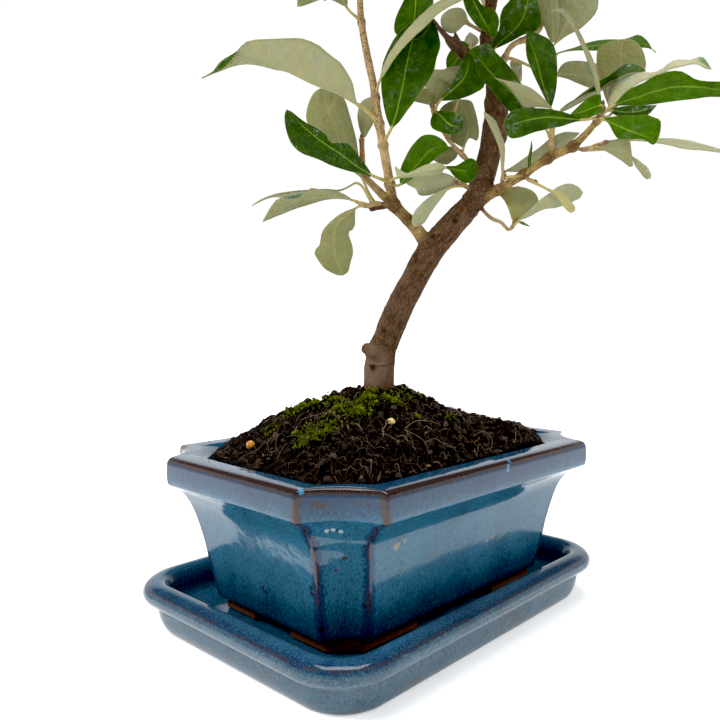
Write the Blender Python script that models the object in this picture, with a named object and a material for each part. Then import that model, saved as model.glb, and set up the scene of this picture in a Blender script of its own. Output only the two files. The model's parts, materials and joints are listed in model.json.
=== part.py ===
# Silverberry bonsai: an evergreen Elaeagnus in a blue glazed pot with indented corners,
# standing on its matching saucer. One named object for each physical piece.
# Units are metres, +Z up. The origin is the middle of the saucer's flat underside.
# The pot's long side runs along X. The tree is laid out as it is seen from the corner of
# the pot where X and Y are both negative, in a front frame: across, up, toward the viewer.

import math
import random

import bmesh
import bpy
from mathutils import Matrix, Vector
from mathutils.geometry import interpolate_bezier
from mathutils.kdtree import KDTree

MM = 0.001
GAP = 0.3 * MM                # clearance between pieces that touch

# Saucer, a rounded rectangle with a rolled rim
SAUCER_INNER_LENGTH = 142 * MM
SAUCER_INNER_WIDTH = 102 * MM
SAUCER_INNER_CORNER = 12.6 * MM
SAUCER_TURN = math.radians(1.0)
SAUCER_SHIFT = Vector((-2.0, 1.3)) * MM
SAUCER_FLOOR = 7.6 * MM
# (distance outside the rim's inner edge, height), from the underside out, up and in
SAUCER_PROFILE = [
    (0.2, 0.0), (1.3, 1.2), (2.7, 4.5), (3.3, 8.2), (3.2, 10.2), (6.2, 11.2), (8.0, 13.2),
    (8.2, 15.4), (6.6, 17.4), (3.8, 18.4), (1.5, 18.3), (0.0, 17.4), (-1.4, 14.5),
    (-2.4, 10.4), (-4.0, 8.3), (-6.5, 7.6),
]
SAUCER_FOOT_SPREAD = 1.0 * MM  # the foot is wider across the long sides by this
SAUCER_FOOT_ROUND = 3.6 * MM   # and its corners rounder by this, both fading out at the roll
SAUCER_ROLL = 10.0 * MM

# Pot, a rectangle whose corners are cut by hollow panels
POT_LENGTH = 152.2 * MM
POT_WIDTH = 113.0 * MM
POT_REST = SAUCER_FLOOR + GAP
POT_UNDERSIDE = 13.8 * MM
POT_RIM = 66.0 * MM
POT_FLOOR = 18.6 * MM
# The corner panels' legs along the long and the short side, at the rim, under the band and
# at the base, with the insets of those levels
PANEL_LEGS = [(0.0, 17.6, 20.8), (8.5, 12.3, 12.3), (16.8, 11.0, 9.9)]
PANEL_HOLLOW = [(0.0, 3.8), (8.5, 2.4), (16.8, 1.8)]
PANEL_EDGE_ROUND = 1.7 * MM
PANEL_EDGE_LIFT = 0.72        # how far the rounded edge keeps out toward the sharp one
# (distance inside the rim's outer face on the short sides, on the long sides, height), from
# the underside up to the rim
POT_OUTSIDE = [
    (22.5, 23.8, 13.8), (21.0, 22.3, 12.8), (17.4, 18.7, 12.4), (16.2, 17.5, 13.6), (13.9, 15.3, 24.5),
    (12.4, 13.9, 33.0), (10.6, 12.2, 41.0), (8.6, 10.7, 47.0), (6.4, 8.3, 51.0), (4.2, 5.2, 53.9),
    (1.6, 1.9, 55.4), (0.2, 0.2, 56.8), (0.0, 0.0, 63.4), (0.7, 0.7, 65.2), (2.4, 2.4, 66.0), (9.0, 9.0, 66.0),
]
# the same, down the inside
POT_INSIDE = [(11.4, 65.0), (12.5, 62.5), (13.8, 52.0), (18.0, 26.0), (20.6, 19.8), (23.2, 18.6)]
INSIDE_LONG_EXTRA = 1.0 * MM  # the long walls stand further in below the rim
INSIDE_LEG_X = 17.0 * MM
INSIDE_LEG_Y = 17.0 * MM
INSIDE_CORNER_BULGE = 1.6 * MM
FOOT_SETBACK_X = 19.0 * MM
FOOT_SETBACK_Y = 20.2 * MM
FOOT_LEG = 9.5 * MM
FOOT_THICK = 8.0 * MM
FOOT_END_X = 22.0 * MM
FOOT_END_Y = 10.0 * MM
DRAIN_HOLE_X = 30.0 * MM
DRAIN_HOLE_RADIUS = 4.5 * MM
DRAIN_MESH_SIZE = 20.0 * MM
DRAIN_MESH_THICK = 0.8 * MM
DRAIN_MESH_BAR = 2.0 * MM

# Soil mound
MOUND_TOP = 89.5 * MM
MOUND_EDGE = 65.6 * MM
MOUND_EDGE_TILT = 1.7 * MM    # the edge is lower than this mean toward the viewer
MOUND_RINGS = [1.0, 0.9, 0.74, 0.58, 0.42, 0.27, 0.16]
MOUND_POWER = 1.25
# low swells and a hollow on the mound: across, toward, rise and spread in millimetres
MOUND_LUMPS = [(-40, 2, 2.2, 14), (31, -12, -4.4, 16), (56, -3, 2.0, 10), (-8, 30, -1.5, 12)]
CRUMB = 0.8 * MM
TRUNK_FOOT = 64.0 * MM
TRUNK_FOOT_RADIUS = 6.3 * MM
PELLET_RADIUS = 1.7 * MM
PELLETS = [(-48.5, 28.0), (2.0, 28.5)]     # across, toward, in millimetres

# Tree, in the front frame and in millimetres
FRONT_BEARING = math.radians(-46.5)
ACROSS = Vector((math.cos(FRONT_BEARING), math.sin(FRONT_BEARING), 0))
TOWARD = Vector((math.sin(FRONT_BEARING), -math.cos(FRONT_BEARING), 0))
TRUNK_SIDES = 12
SHOOT_OVERLAP = 0.4 * MM      # a shoot runs on into its spur until the wood's clearance cuts it
BLADE_THICK = 0.6 * MM
PETIOLE_HALF = 0.55 * MM
BLADE_STATIONS = (0.24, 0.56, 0.85)
BLADE_FULLNESS = 0.72
BLADE_FOLD = 0.16
BLADE_WAVE = 0.07

# Woody stems: points with a radius each
TRUNK = [
    (-2.5, 64, 0, 6.3), (-2.5, 84, 0, 6.3), (-2.5, 94, 0, 6.1), (-1.5, 102, 0, 5.7), (0.5, 107.5, 0, 5.3),
    (5.5, 119.5, 0, 5.3), (11.5, 131, 0, 5.1), (17.5, 141.5, 0, 5.3), (23.5, 149, 0, 5.1),
    (30.5, 156.5, 0, 4.7), (35.5, 163, 0, 4.4), (38, 170.5, 0, 4.6), (41, 181, -1, 4.3),
    (42.5, 190.5, -2, 4.4), (43.5, 199.5, -3, 4.6), (42.5, 209.5, -3, 3.5), (39.5, 220.5, -3, 2.7),
    (39.5, 229, -3, 2.5), (41, 238, -2, 2.2), (41.5, 246, -1, 1.9),
]
LEFT_ARM = [(17.5, 143.5, 0, 3.2), (12, 150, 2, 2.5), (7, 155, 4, 2.2), (3, 159, 5, 2.4), (2.4, 161.5, 5.3, 2.1)]
RIGHT_LIMB = [
    (35, 159, 2, 2.6), (40, 162.5, 4, 2.2), (48.5, 167.5, 7, 2.0), (60.5, 175, 10, 1.9),
    (69, 179, 13, 1.9), (73.5, 183, 15, 1.6), (76.5, 186.4, 16.4, 1.4),
]
PRUNED_STUB = [(-2, 101.5, 2, 3.0), (-6.5, 103.5, 4.5, 2.4), (-8.6, 104.2, 5.6, 1.7)]
BROKEN_STUB = [
    (41, 211.5, -2, 2.7), (34, 214.5, -1, 2.5), (29, 218, 0.5, 2.5), (25.3, 220.8, 1.5, 1.8),
    (23.2, 222.8, 2, 1.1), (20.5, 225.5, 2.8, 1.0), (17.5, 229, 3.2, 0.8),
]
WOOD = {"trunk": TRUNK, "left_arm": LEFT_ARM, "right_limb": RIGHT_LIMB, "pruned_stub": PRUNED_STUB,
        "broken_stub": BROKEN_STUB}

# Leafy shoots: their paths, how far the trunk's own spur carries them, and their two radii
SHOOTS = {
    "leader_shoot": dict(
        path=[(2.6, 161, 5.2), (1, 170.5, 6), (-0.5, 179, 6), (-3, 193, 7), (-4.5, 203, 8), (-7, 214.5, 8),
              (-9, 226.5, 7), (-9.5, 237, 6), (-8.5, 249, 4), (-6, 261, 2), (-3, 272, 0)],
        spur=4.5, radii=(1.75, 0.8)),
    "left_side_shoot": dict(
        path=[(3.5, 158.5, 4), (-4, 166, 1.5), (-8.5, 171.5, -0.5), (-9, 178, -1.5), (-9.3, 186, -2)],
        spur=7.5, radii=(1.3, 0.75)),
    "left_low_shoot": dict(
        path=[(4, 158, 5), (-3, 158.7, 8), (-7, 157.8, 10), (-10.5, 159, 11)],
        spur=7.0, radii=(1.0, 0.7)),
    "inner_shoot": dict(
        path=[(37, 171.5, 1), (29, 178, 5), (24.5, 182.5, 6.5), (19.5, 189.5, 7), (17.5, 195, 7)],
        spur=9.0, radii=(1.1, 0.65)),
    "low_inner_shoot": dict(
        path=[(35, 162.5, 1), (31, 165.5, 6), (27, 166.5, 8.5)],
        spur=7.0, radii=(0.9, 0.7)),
    "right_tip_shoot": dict(
        path=[(76.5, 186.4, 16.4), (78, 188.5, 17), (78.5, 190.7, 17.6), (78.8, 193, 18)],
        spur=0.6, radii=(1.5, 1.1)),
    "right_upright_shoot": dict(
        path=[(62.5, 175.5, 10.5), (62, 181.5, 12), (61.5, 186.5, 12.5)],
        spur=3.5, radii=(1.3, 0.9)),
    "right_side_shoot": dict(
        path=[(69.5, 178.8, 13), (72.5, 177.3, 16), (75.5, 177.8, 18), (79, 179, 20)],
        spur=4.0, radii=(0.85, 0.65)),
    "right_base_shoot": dict(
        path=[(43, 164, 5), (44.3, 167, 6.5), (44.7, 170.5, 7)],
        spur=3.6, radii=(0.8, 0.6)),
    "right_hanging_shoot": dict(
        path=[(35.5, 160, 1), (40.3, 154, 5), (44, 152, 7), (47, 149, 8), (49.4, 152, 9)],
        spur=8.0, radii=(0.9, 0.6)),
    "right_mid_shoot": dict(
        path=[(52.5, 170, 8), (53.5, 167.5, 10.5), (55.5, 166.5, 12.5)],
        spur=3.2, radii=(0.75, 0.6)),
    "upper_left_shoot": dict(
        path=[(40, 225.5, -3), (36, 226.3, -0.5), (33, 227, 1.5), (31, 227.4, 3)],
        spur=4.2, radii=(0.85, 0.6)),
    "upper_back_shoot": dict(
        path=[(37, 216, -1), (35.3, 218.8, -4.2), (34, 221, -6.4)],
        spur=3.4, radii=(0.9, 0.65)),
    "upper_right_shoot": dict(
        path=[(43.5, 206.5, -4), (47, 217.5, -8), (50.5, 224, -11), (57, 228, -14), (62.5, 232, -17),
              (64, 238, -18), (65, 250, -18)],
        spur=7.5, radii=(1.5, 0.7)),
    "crown_top_shoot": dict(
        path=[(41.5, 246, -1), (42, 251, 0), (40, 264, 2), (42, 278, 3), (40, 292, 4)],
        spur=0.6, radii=(1.6, 0.7)),
    "crown_left_shoot": dict(
        path=[(40.5, 236.5, -2), (34, 245, 2), (27, 253, 7), (21, 264, 10), (18, 277, 11)],
        spur=6.5, radii=(1.4, 0.7)),
    "crown_right_shoot": dict(
        path=[(41.3, 243.5, -1), (49, 252, -3), (58, 262, -6), (66, 274, -8)],
        spur=7.0, radii=(1.3, 0.7)),
    "crown_front_shoot": dict(
        path=[(41, 240, -2), (40, 249, 11), (35, 260, 22), (34, 272, 28)],
        spur=9.0, radii=(1.2, 0.7)),
    "crown_back_shoot": dict(
        path=[(39.6, 226, -3), (42, 236, -16), (41, 249, -28), (38, 262, -36)],
        spur=8.5, radii=(1.3, 0.7)),
}

# Leaves that the picture shows: blade base, middle and tip in the front frame, width, the
# turn of the upper face away from the viewer at the base, its twist by the tip, and where
# along the blade it is widest. Each hangs by a stalk from its shoot.
SEEN_LEAVES = {
    "leader_shoot": [
        ((-11.5, 196.5, 10), (-32.5, 210.5, 16), (-65, 201, 22), 14.5, 165, -30, 0.42),
        ((-6, 169, 11), (-22, 178.5, 16), (-36, 191.5, 19), 15, 20, 0, 0.64),
        ((-14.5, 230.5, 10), (-22, 237, 14), (-31.5, 227.5, 18), 11.5, 160, 0, 0.5),
        ((0, 208.5, 12), (14, 222.5, 20), (32.5, 232.5, 24), 12, 112, 0, 0.6),
        ((2.5, 186, 10), (9, 205, 13), (16.5, 225, 12), 20.5, -12, 0, 0.5),
        ((5.5, 167.5, 9), (13.5, 176, 11), (21.5, 182, 12), 13, 10, 0, 0.6),
        ((5.5, 168.5, 14), (18, 169.5, 18), (33, 169, 21), 10.5, 150, -120, 0.65),
    ],
    "left_side_shoot": [((-8.7, 187.5, -2), (-8, 195, -3), (-6, 202.5, -4), 6, 170, 0, 0.55)],
    "left_low_shoot": [
        ((-13, 160, 12), (-28, 159.5, 16), (-45, 150.5, 20), 9.5, 160, 0, 0.55),
        ((-12.5, 161, 9), (-32.5, 163.5, 8), (-51, 158.5, 7), 6, 120, 0, 0.5),
        ((-10.5, 157, 13), (-18.5, 145, 17), (-16, 131, 18), 15.5, 172, 0, 0.7),
        ((-11.5, 171.5, 5), (-19, 187.5, 3), (-26, 204, 1), 17.5, 175, 0, 0.62),
    ],
    "inner_shoot": [
        ((19.5, 196.5, 8), (27, 202.5, 9), (30.5, 213, 9), 14.5, 15, 0, 0.5),
        ((19.5, 192.5, 9), (24, 188, 12), (28.5, 185, 13), 9.5, 10, 0, 0.6),
        ((18.5, 196.5, 5), (22, 205, 2), (29.5, 213, -2), 10, 170, 0, 0.5),
        ((17.5, 197, 4), (13.5, 200, 0), (6.5, 204, -4), 6.5, 160, 0, 0.5),
        ((28, 180, 3), (23.5, 178.5, 0), (19, 177.5, -3), 7, 165, 0, 0.5),
        ((32, 182.5, 6), (32, 192.5, 4.5), (26, 202.5, 1), 13, 172, 0, 0.5),
    ],
    "low_inner_shoot": [
        ((27.5, 166.5, 8), (19, 165.5, 7), (10, 166.5, 5), 9, 170, 0, 0.5),
        ((23, 164, 9), (16.5, 158.5, 10), (11, 150, 10), 6.5, 175, 0, 0.6),
    ],
    "right_tip_shoot": [
        ((77.5, 196, 18), (71.5, 211, 22), (61, 229, 26), 9, 100, 0, 0.7),
        ((82.5, 197.5, 11), (88, 209.5, 5), (91, 222.5, 1), 18, 175, 0, 0.66),
        ((76, 193, 20), (71.5, 190.5, 20.5), (65, 186.5, 21), 9, 15, 0, 0.45),
        ((80.5, 193.5, 20), (93, 200, 26), (111.5, 201, 31), 9, 112, 0, 0.6),
        ((82, 191.5, 22), (97, 194, 32), (117.5, 192, 40), 12, 20, 0, 0.45),
        ((83.5, 192, 14), (93, 193, 10), (102.5, 196.5, 8), 7, 20, 0, 0.5),
        ((80, 187, 23), (86, 182.5, 28), (94, 178.5, 33), 11, 15, 0, 0.72),
        ((72, 186, 24), (55.5, 184.5, 30), (40.5, 180.5, 34), 11.5, -15, 0, 0.62),
    ],
    "right_mid_shoot": [((58, 163.5, 17), (62.5, 158.5, 22), (66.5, 153, 24), 7, 170, 0, 0.7)],
    "right_upright_shoot": [
        ((60.5, 193, 15), (58, 206, 17), (51, 218, 18), 11.5, 25, 0, 0.58),
        ((59, 192, 18), (50, 195.5, 22), (38, 200, 26), 9, 165, 0, 0.5),
        ((55, 192.5, 10), (44, 203, 10), (31.5, 214.5, 12), 16, -15, 0, 0.5),
        ((65, 192.5, 12), (81, 202.5, 13), (96.5, 208, 13), 7.5, 55, 0, 0.6),
    ],
    "right_side_shoot": [
        ((79.5, 177.8, 20), (84, 176, 22), (88.5, 169.5, 23), 9.5, 170, 0, 0.6),
        ((82, 177.5, 15.5), (92, 172.5, 15), (97, 166.5, 15), 5.5, 170, 0, 0.75),
        ((84, 181, 17), (106, 180, 14), (130.5, 177, 12), 7.5, 118, 0, 0.5),
    ],
    "right_base_shoot": [
        ((47, 172, 3), (63, 181, -4), (78, 190, -8), 10.5, 170, 0, 0.62),
        ((44, 172.5, 12), (41.5, 181.5, 15), (36, 190.5, 17), 6.5, 150, 0, 0.5),
    ],
    "right_hanging_shoot": [
        ((49.5, 153, 7), (50.5, 159.5, 4), (52, 166, 1), 14, 175, 0, 0.62),
        ((50.5, 152, 10), (62, 157.5, 13), (73, 163, 15), 9.5, 165, 0, 0.7),
        ((50.5, 151.8, 7), (53, 151.3, 5), (56.5, 150.3, 3), 3, 20, 0, 0.5),
    ],
    "upper_left_shoot": [
        ((29, 227.5, 4), (25.5, 229.5, 3), (21, 230, 2), 10.5, 175, 0, 0.62),
    ],
    "upper_back_shoot": [
        ((33, 221.5, -6), (29.5, 219.5, -9), (25.5, 213.5, -12), 10, 25, 0, 0.5),
        ((34, 222.5, -8), (34.5, 226.5, -12), (34.5, 231.5, -18), 6, 170, 0, 0.5),
    ],
    "upper_right_shoot": [
        ((45, 219, -1), (51, 228, 6), (57.5, 241, 12), 17.5, 10, 0, 0.55),
        ((62, 252, -9), (64, 238.5, -8), (65.5, 224.5, -9), 10.5, 172, 0, 0.5),
        ((69, 228, -19), (79.5, 242.5, -24), (90.5, 257, -28), 17.5, 170, 0, 0.6),
        ((72, 224, -19), (93.5, 231.5, -26), (115.5, 228.5, -32), 9, 50, 0, 0.6),
        ((66, 216, -13), (80.5, 215, -16), (91, 214.5, -20), 11, 170, 0, 0.5),
        ((55, 211, -15), (53, 217, -19), (52, 223.5, -22), 7, 165, 0, 0.6),
    ],
    "crown_left_shoot": [
        ((15.5, 250.5, 11), (10, 236.5, 12), (4.5, 222.5, 13), 14.5, 20, 0, 0.5),
        ((29.5, 241.5, 11), (36, 230.5, 12), (41, 221.5, 13), 10, 10, 0, 0.5),
    ],
}

# Leaves by rule on the shoots that the picture doesn't show: how many, from where along the
# shoot, and how long in millimetres
RULE_LEAVES = {
    "leader_shoot": (8, 0.72, 34), "crown_top_shoot": (10, 0.14, 33), "crown_left_shoot": (8, 0.42, 31),
    "crown_right_shoot": (8, 0.3, 33), "crown_front_shoot": (8, 0.4, 31), "crown_back_shoot": (9, 0.36, 34),
    "upper_right_shoot": (3, 0.86, 27),
}
GOLDEN_ANGLE = math.radians(137.5)
SPIN_STEP = math.radians(33)
RULE_STALK = 4.5 * MM
LEAF_ASPECT = 0.42
LEAF_SPACING = 3.4 * MM
PICTURE_TOP = 240 * MM        # the picture's top edge, which falls toward the viewer
PICTURE_TOP_FALL = 0.41
SEED = 11


def clear_scene():
    """Empty the file that the script runs in."""
    for old in list(bpy.data.objects):
        bpy.data.objects.remove(old, do_unlink=True)


def material(name, colour, roughness, metallic=0.0):
    """A Principled material of one colour."""
    made = bpy.data.materials.new(name)
    made.use_nodes = True
    shader = made.node_tree.nodes["Principled BSDF"]
    shader.inputs["Base Color"].default_value = (*colour, 1)
    shader.inputs["Roughness"].default_value = roughness
    shader.inputs["Metallic"].default_value = metallic
    made.diffuse_color = (*colour, 1)
    return made


def add_object(name, verts, faces, finish=None, smooth=35):
    """A mesh object from points and faces, with its normals outward."""
    mesh = bpy.data.meshes.new(name)
    mesh.from_pydata([tuple(v) for v in verts], [], faces)
    shape = bmesh.new()
    shape.from_mesh(mesh)
    bmesh.ops.recalc_face_normals(shape, faces=shape.faces)
    shape.to_mesh(mesh)
    shape.free()
    mesh.shade_smooth()
    mesh.set_sharp_from_angle(angle=math.radians(smooth))
    made = bpy.data.objects.new(name, mesh)
    bpy.context.scene.collection.objects.link(made)
    if finish is not None:
        mesh.materials.append(finish)
    return made


def hide_cutter(cutter):
    """A cutter shapes its neighbours and isn't a piece."""
    cutter.hide_render = True
    cutter.display_type = "WIRE"


def cut(target, cutter):
    """Take a cutter's volume away from a piece."""
    hide_cutter(cutter)
    step = target.modifiers.new("cut_" + cutter.name, "BOOLEAN")
    step.operation = "DIFFERENCE"
    step.solver = "EXACT"
    step.object = cutter


def fuse(target, pieces, solver="EXACT"):
    """Join pieces to a target by one applied union, then remove them."""
    group = bpy.data.collections.new(target.name + "_parts")
    bpy.context.scene.collection.children.link(group)
    for piece in pieces:
        bpy.context.scene.collection.objects.unlink(piece)
        group.objects.link(piece)
    step = target.modifiers.new("union", "BOOLEAN")
    step.operation = "UNION"
    step.solver = solver
    step.operand_type = "COLLECTION"
    step.collection = group
    apply_modifiers(target)
    for piece in pieces:
        bpy.data.objects.remove(piece, do_unlink=True)
    bpy.data.collections.remove(group)


def apply_modifiers(target):
    """Keep the evaluated mesh and drop the modifiers."""
    graph = bpy.context.evaluated_depsgraph_get()
    graph.update()
    finished = bpy.data.meshes.new_from_object(target.evaluated_get(graph))
    target.modifiers.clear()
    target.data = finished


def loft(rings):
    """Points and faces of a closed skin through rings of equal count, capped at both ends."""
    count = len(rings[0])
    verts = [point for ring in rings for point in ring]
    faces = [tuple(range(count))]
    for low in range(len(rings) - 1):
        for k in range(count):
            nxt = (k + 1) % count
            faces.append((low * count + k, low * count + nxt, (low + 1) * count + nxt, (low + 1) * count + k))
    faces.append(tuple(range((len(rings) - 1) * count, len(rings) * count)))
    return verts, faces


def front(across, up, toward):
    """A point of the front frame, in millimetres, as a world point."""
    return (ACROSS * across + TOWARD * toward) * MM + Vector((0, 0, up * MM))


def rounded_rectangle(length, width, corner, height, steps=5):
    """The saucer's outline at one height, turned and shifted as it lies under the pot."""
    turn = Matrix.Rotation(SAUCER_TURN, 2)
    ring = []
    for quarter in range(4):
        side_x = 1 if quarter in (0, 3) else -1
        side_y = 1 if quarter in (0, 1) else -1
        centre = Vector((side_x * (length / 2 - corner), side_y * (width / 2 - corner)))
        for k in range(steps + 1):
            angle = math.pi / 2 * (quarter + k / steps)
            flat = turn @ (centre + corner * Vector((math.cos(angle), math.sin(angle)))) + SAUCER_SHIFT
            ring.append(Vector((flat.x, flat.y, height)))
    return ring


def make_saucer(finish):
    """The tray: one glazed piece with a rolled rim and a flat underside."""
    rings = []
    for step, (offset, height) in enumerate(SAUCER_PROFILE):
        reach = offset * MM
        low = max(0.0, 1 - height * MM / SAUCER_ROLL) if step < 5 else 0.0
        rings.append(rounded_rectangle(
            SAUCER_INNER_LENGTH + 2 * reach, SAUCER_INNER_WIDTH + 2 * (reach + SAUCER_FOOT_SPREAD * low),
            SAUCER_INNER_CORNER + reach + SAUCER_FOOT_ROUND * low, height * MM))
    return add_object("saucer", *loft(rings), finish)


def blend(low, high, share):
    """A value between two others."""
    return low + (high - low) * share


def level_value(table, inset, column):
    """A value from a table of insets, blended between its levels."""
    reach = min(max(inset / MM, table[0][0]), table[-1][0])
    for low, high in zip(table, table[1:]):
        if reach <= high[0]:
            return blend(low[column], high[column], (reach - low[0]) / (high[0] - low[0])) * MM
    return table[-1][column] * MM


def pot_outline(half_x, half_y, height, leg_x, leg_y, hollow):
    """One level of the pot: a rectangle whose cut corners are hollow by a parabola."""
    ring = []
    for side_x, side_y in ((1, 1), (-1, 1), (-1, -1), (1, -1)):
        on_y_face = Vector((side_x * (half_x - leg_x), side_y * half_y))
        on_x_face = Vector((side_x * half_x, side_y * (half_y - leg_y)))
        inward = Vector((-side_x * leg_y, -side_y * leg_x)).normalized()
        panel = (on_x_face - on_y_face)
        edge_share = min(PANEL_EDGE_ROUND / panel.length, 0.18)
        panel_points = [on_y_face + panel * share + inward * hollow * (1 - (2 * share - 1) ** 2)
                        for share in (edge_share, 0.34, 0.66, 1 - edge_share)]
        before = on_y_face + Vector((-side_x, 0)) * PANEL_EDGE_ROUND
        after = on_x_face + Vector((0, -side_y)) * PANEL_EDGE_ROUND
        first = before.lerp(panel_points[0], 0.5).lerp(on_y_face, PANEL_EDGE_LIFT)
        last = after.lerp(panel_points[-1], 0.5).lerp(on_x_face, PANEL_EDGE_LIFT)
        corner = [before, first, *panel_points, last, after]
        if side_x * side_y > 0:
            corner.reverse()
        ring.extend(Vector((point.x, point.y, height)) for point in corner)
    return ring


def outside_outline(inset_x, inset_y, height):
    """The pot's outer outline: its cut corners narrow and flatten as the wall moves in."""
    return pot_outline(POT_LENGTH / 2 - inset_x, POT_WIDTH / 2 - inset_y, height,
                       level_value(PANEL_LEGS, inset_x, 1), level_value(PANEL_LEGS, inset_x, 2),
                       level_value(PANEL_HOLLOW, inset_x, 1))


def inside_outline(inset, height, clear=0.0):
    """The pot's inner outline, whose corners are rounded outward instead."""
    extra = INSIDE_LONG_EXTRA * min(1.0, (POT_RIM - height) / (10 * MM))
    return pot_outline(POT_LENGTH / 2 - inset - clear, POT_WIDTH / 2 - inset - extra - clear, height,
                       INSIDE_LEG_X, INSIDE_LEG_Y, clear * 0.5 - INSIDE_CORNER_BULGE)


def make_foot(side_x, side_y):
    """One L-shaped foot under a corner, following the base's outline."""
    half_x = POT_LENGTH / 2 - FOOT_SETBACK_X
    half_y = POT_WIDTH / 2 - FOOT_SETBACK_Y
    inner = FOOT_LEG + FOOT_THICK / 4
    outline = [
        (FOOT_END_X, half_y), (half_x - FOOT_LEG, half_y), (half_x, half_y - FOOT_LEG), (half_x, FOOT_END_Y),
        (half_x - FOOT_THICK, FOOT_END_Y), (half_x - FOOT_THICK, half_y - inner),
        (half_x - inner, half_y - FOOT_THICK), (FOOT_END_X, half_y - FOOT_THICK),
    ]
    rings = [[Vector((side_x * x, side_y * y, z)) for x, y in outline]
             for z in (POT_REST, POT_UNDERSIDE + 1.5 * MM)]
    return add_object("foot", *loft(rings))


def make_pot(finish):
    """The pot, fired in one piece: walls, rim, floor with two drain holes, and four feet."""
    rings = [outside_outline(x * MM, y * MM, height * MM) for x, y, height in POT_OUTSIDE]
    rings += [inside_outline(inset * MM, height * MM) for inset, height in POT_INSIDE]
    pot = add_object("pot", *loft(rings), finish)
    fuse(pot, [make_foot(x, y) for x in (1, -1) for y in (1, -1)])
    for side in (1, -1):
        rings = [[Vector((side * DRAIN_HOLE_X + DRAIN_HOLE_RADIUS * math.cos(k * math.pi / 6),
                          DRAIN_HOLE_RADIUS * math.sin(k * math.pi / 6), z)) for k in range(12)]
                 for z in (POT_REST, POT_FLOOR + 5 * MM)]
        cut(pot, add_object("drain_hole_cutter", *loft(rings)))
    apply_modifiers(pot)
    for cutter in [o for o in bpy.data.objects if o.name.startswith("drain_hole_cutter")]:
        bpy.data.objects.remove(cutter, do_unlink=True)
    return pot


def make_drain_mesh(name, centre_x, finish):
    """A plastic grid over a drain hole, which holds the soil back."""
    cell = (DRAIN_MESH_SIZE - DRAIN_MESH_BAR * 4) / 3
    lines = [-DRAIN_MESH_SIZE / 2]
    for k in range(7):
        lines.append(lines[-1] + (DRAIN_MESH_BAR if k % 2 == 0 else cell))
    low = POT_FLOOR + GAP
    shape = bmesh.new()
    grid = {}
    for i, x in enumerate(lines):
        for j, y in enumerate(lines):
            for k in (0, 1):
                grid[i, j, k] = shape.verts.new((centre_x + x, y, low + k * DRAIN_MESH_THICK))
    solid = {(i, j) for i in range(7) for j in range(7) if i % 2 == 0 or j % 2 == 0}
    for i, j in sorted(solid):
        corners = ((i, j), (i + 1, j), (i + 1, j + 1), (i, j + 1))
        shape.faces.new([grid[c + (1,)] for c in corners])
        shape.faces.new([grid[c + (0,)] for c in reversed(corners)])
        for side, beyond in enumerate(((i, j - 1), (i + 1, j), (i, j + 1), (i - 1, j))):
            if beyond not in solid:
                a, b = corners[side], corners[(side + 1) % 4]
                shape.faces.new([grid[a + (0,)], grid[b + (0,)], grid[b + (1,)], grid[a + (1,)]])
    mesh = bpy.data.meshes.new(name)
    shape.to_mesh(mesh)
    shape.free()
    made = bpy.data.objects.new(name, mesh)
    bpy.context.scene.collection.objects.link(made)
    mesh.materials.append(finish)
    return made


def mound_height(across, toward, share):
    """Height of the soil at a share of the way from the trunk to the pot's wall."""
    reach = math.hypot(across, toward)
    edge = MOUND_EDGE - MOUND_EDGE_TILT * (toward / reach if reach > 0 else 0)
    height = edge + (MOUND_TOP - edge) * (1 - share ** MOUND_POWER)
    for lump_across, lump_toward, rise, spread in MOUND_LUMPS:
        apart = math.hypot(across / MM - lump_across, toward / MM - lump_toward) / spread
        height += rise * MM * math.exp(-apart * apart) * min(1.0, 4 * (1 - share))
    return height


def soil_height_at(across, toward):
    """The mound's height under a point given in metres of the front frame."""
    point = ACROSS * across + TOWARD * toward
    trunk = front(TRUNK[0][0], 0, 0)
    ring = inside_outline(POT_INSIDE[1][0] * MM, POT_INSIDE[1][1] * MM, GAP)
    way = (point - trunk)
    way.z = 0
    best = 1.0
    for k, corner in enumerate(ring):
        nxt = ring[(k + 1) % len(ring)]
        a, b = corner - trunk, nxt - trunk
        cross = a.x * b.y - a.y * b.x
        u = (way.x * b.y - way.y * b.x) / cross
        v = (a.x * way.y - a.y * way.x) / cross
        if u >= 0 and v >= 0:
            best = u + v
    return mound_height(across, toward, best)


def make_soil(finish):
    """The potting soil: it fills the pot and rises in a mound to the trunk."""
    draw = random.Random(SEED)
    rings = [inside_outline(inset * MM, max(height * MM, POT_FLOOR + GAP), GAP)
             for inset, height in reversed(POT_INSIDE[1:])]
    outer = inside_outline(POT_INSIDE[1][0] * MM, POT_INSIDE[1][1] * MM, GAP)
    trunk = front(TRUNK[0][0], 0, 0)
    for share in MOUND_RINGS:
        ring = []
        for corner in outer:
            flat = trunk.lerp(Vector((corner.x, corner.y, 0)), share)
            across, toward = flat.dot(ACROSS), flat.dot(TOWARD)
            crumb = CRUMB * (draw.random() - 0.5) * (0.4 if share > 0.95 else 1.6)
            ring.append(Vector((flat.x, flat.y, mound_height(across, toward, share) + crumb)))
        rings.append(ring)
    soil = add_object("soil", *loft(rings), finish)
    hole = tube("trunk_hole", [front(*p[:3]) for p in TRUNK[:3]],
                [p[3] * MM + GAP for p in TRUNK[:3]], TRUNK_SIDES, extra=GAP)
    cut(soil, hole)
    for x in (DRAIN_HOLE_X, -DRAIN_HOLE_X):
        half = DRAIN_MESH_SIZE / 2 + GAP
        square = [(x - half, -half), (x + half, -half), (x + half, half), (x - half, half)]
        rings = [[Vector((px, py, z)) for px, py in square]
                 for z in (POT_FLOOR, POT_FLOOR + DRAIN_MESH_THICK + 2 * GAP)]
        cut(soil, add_object("mesh_recess", *loft(rings)))
    for across, toward in PELLETS:
        cut(soil, ball("pellet_dent", pellet_centre(across, toward), PELLET_RADIUS + GAP, 2))
    return soil


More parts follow.
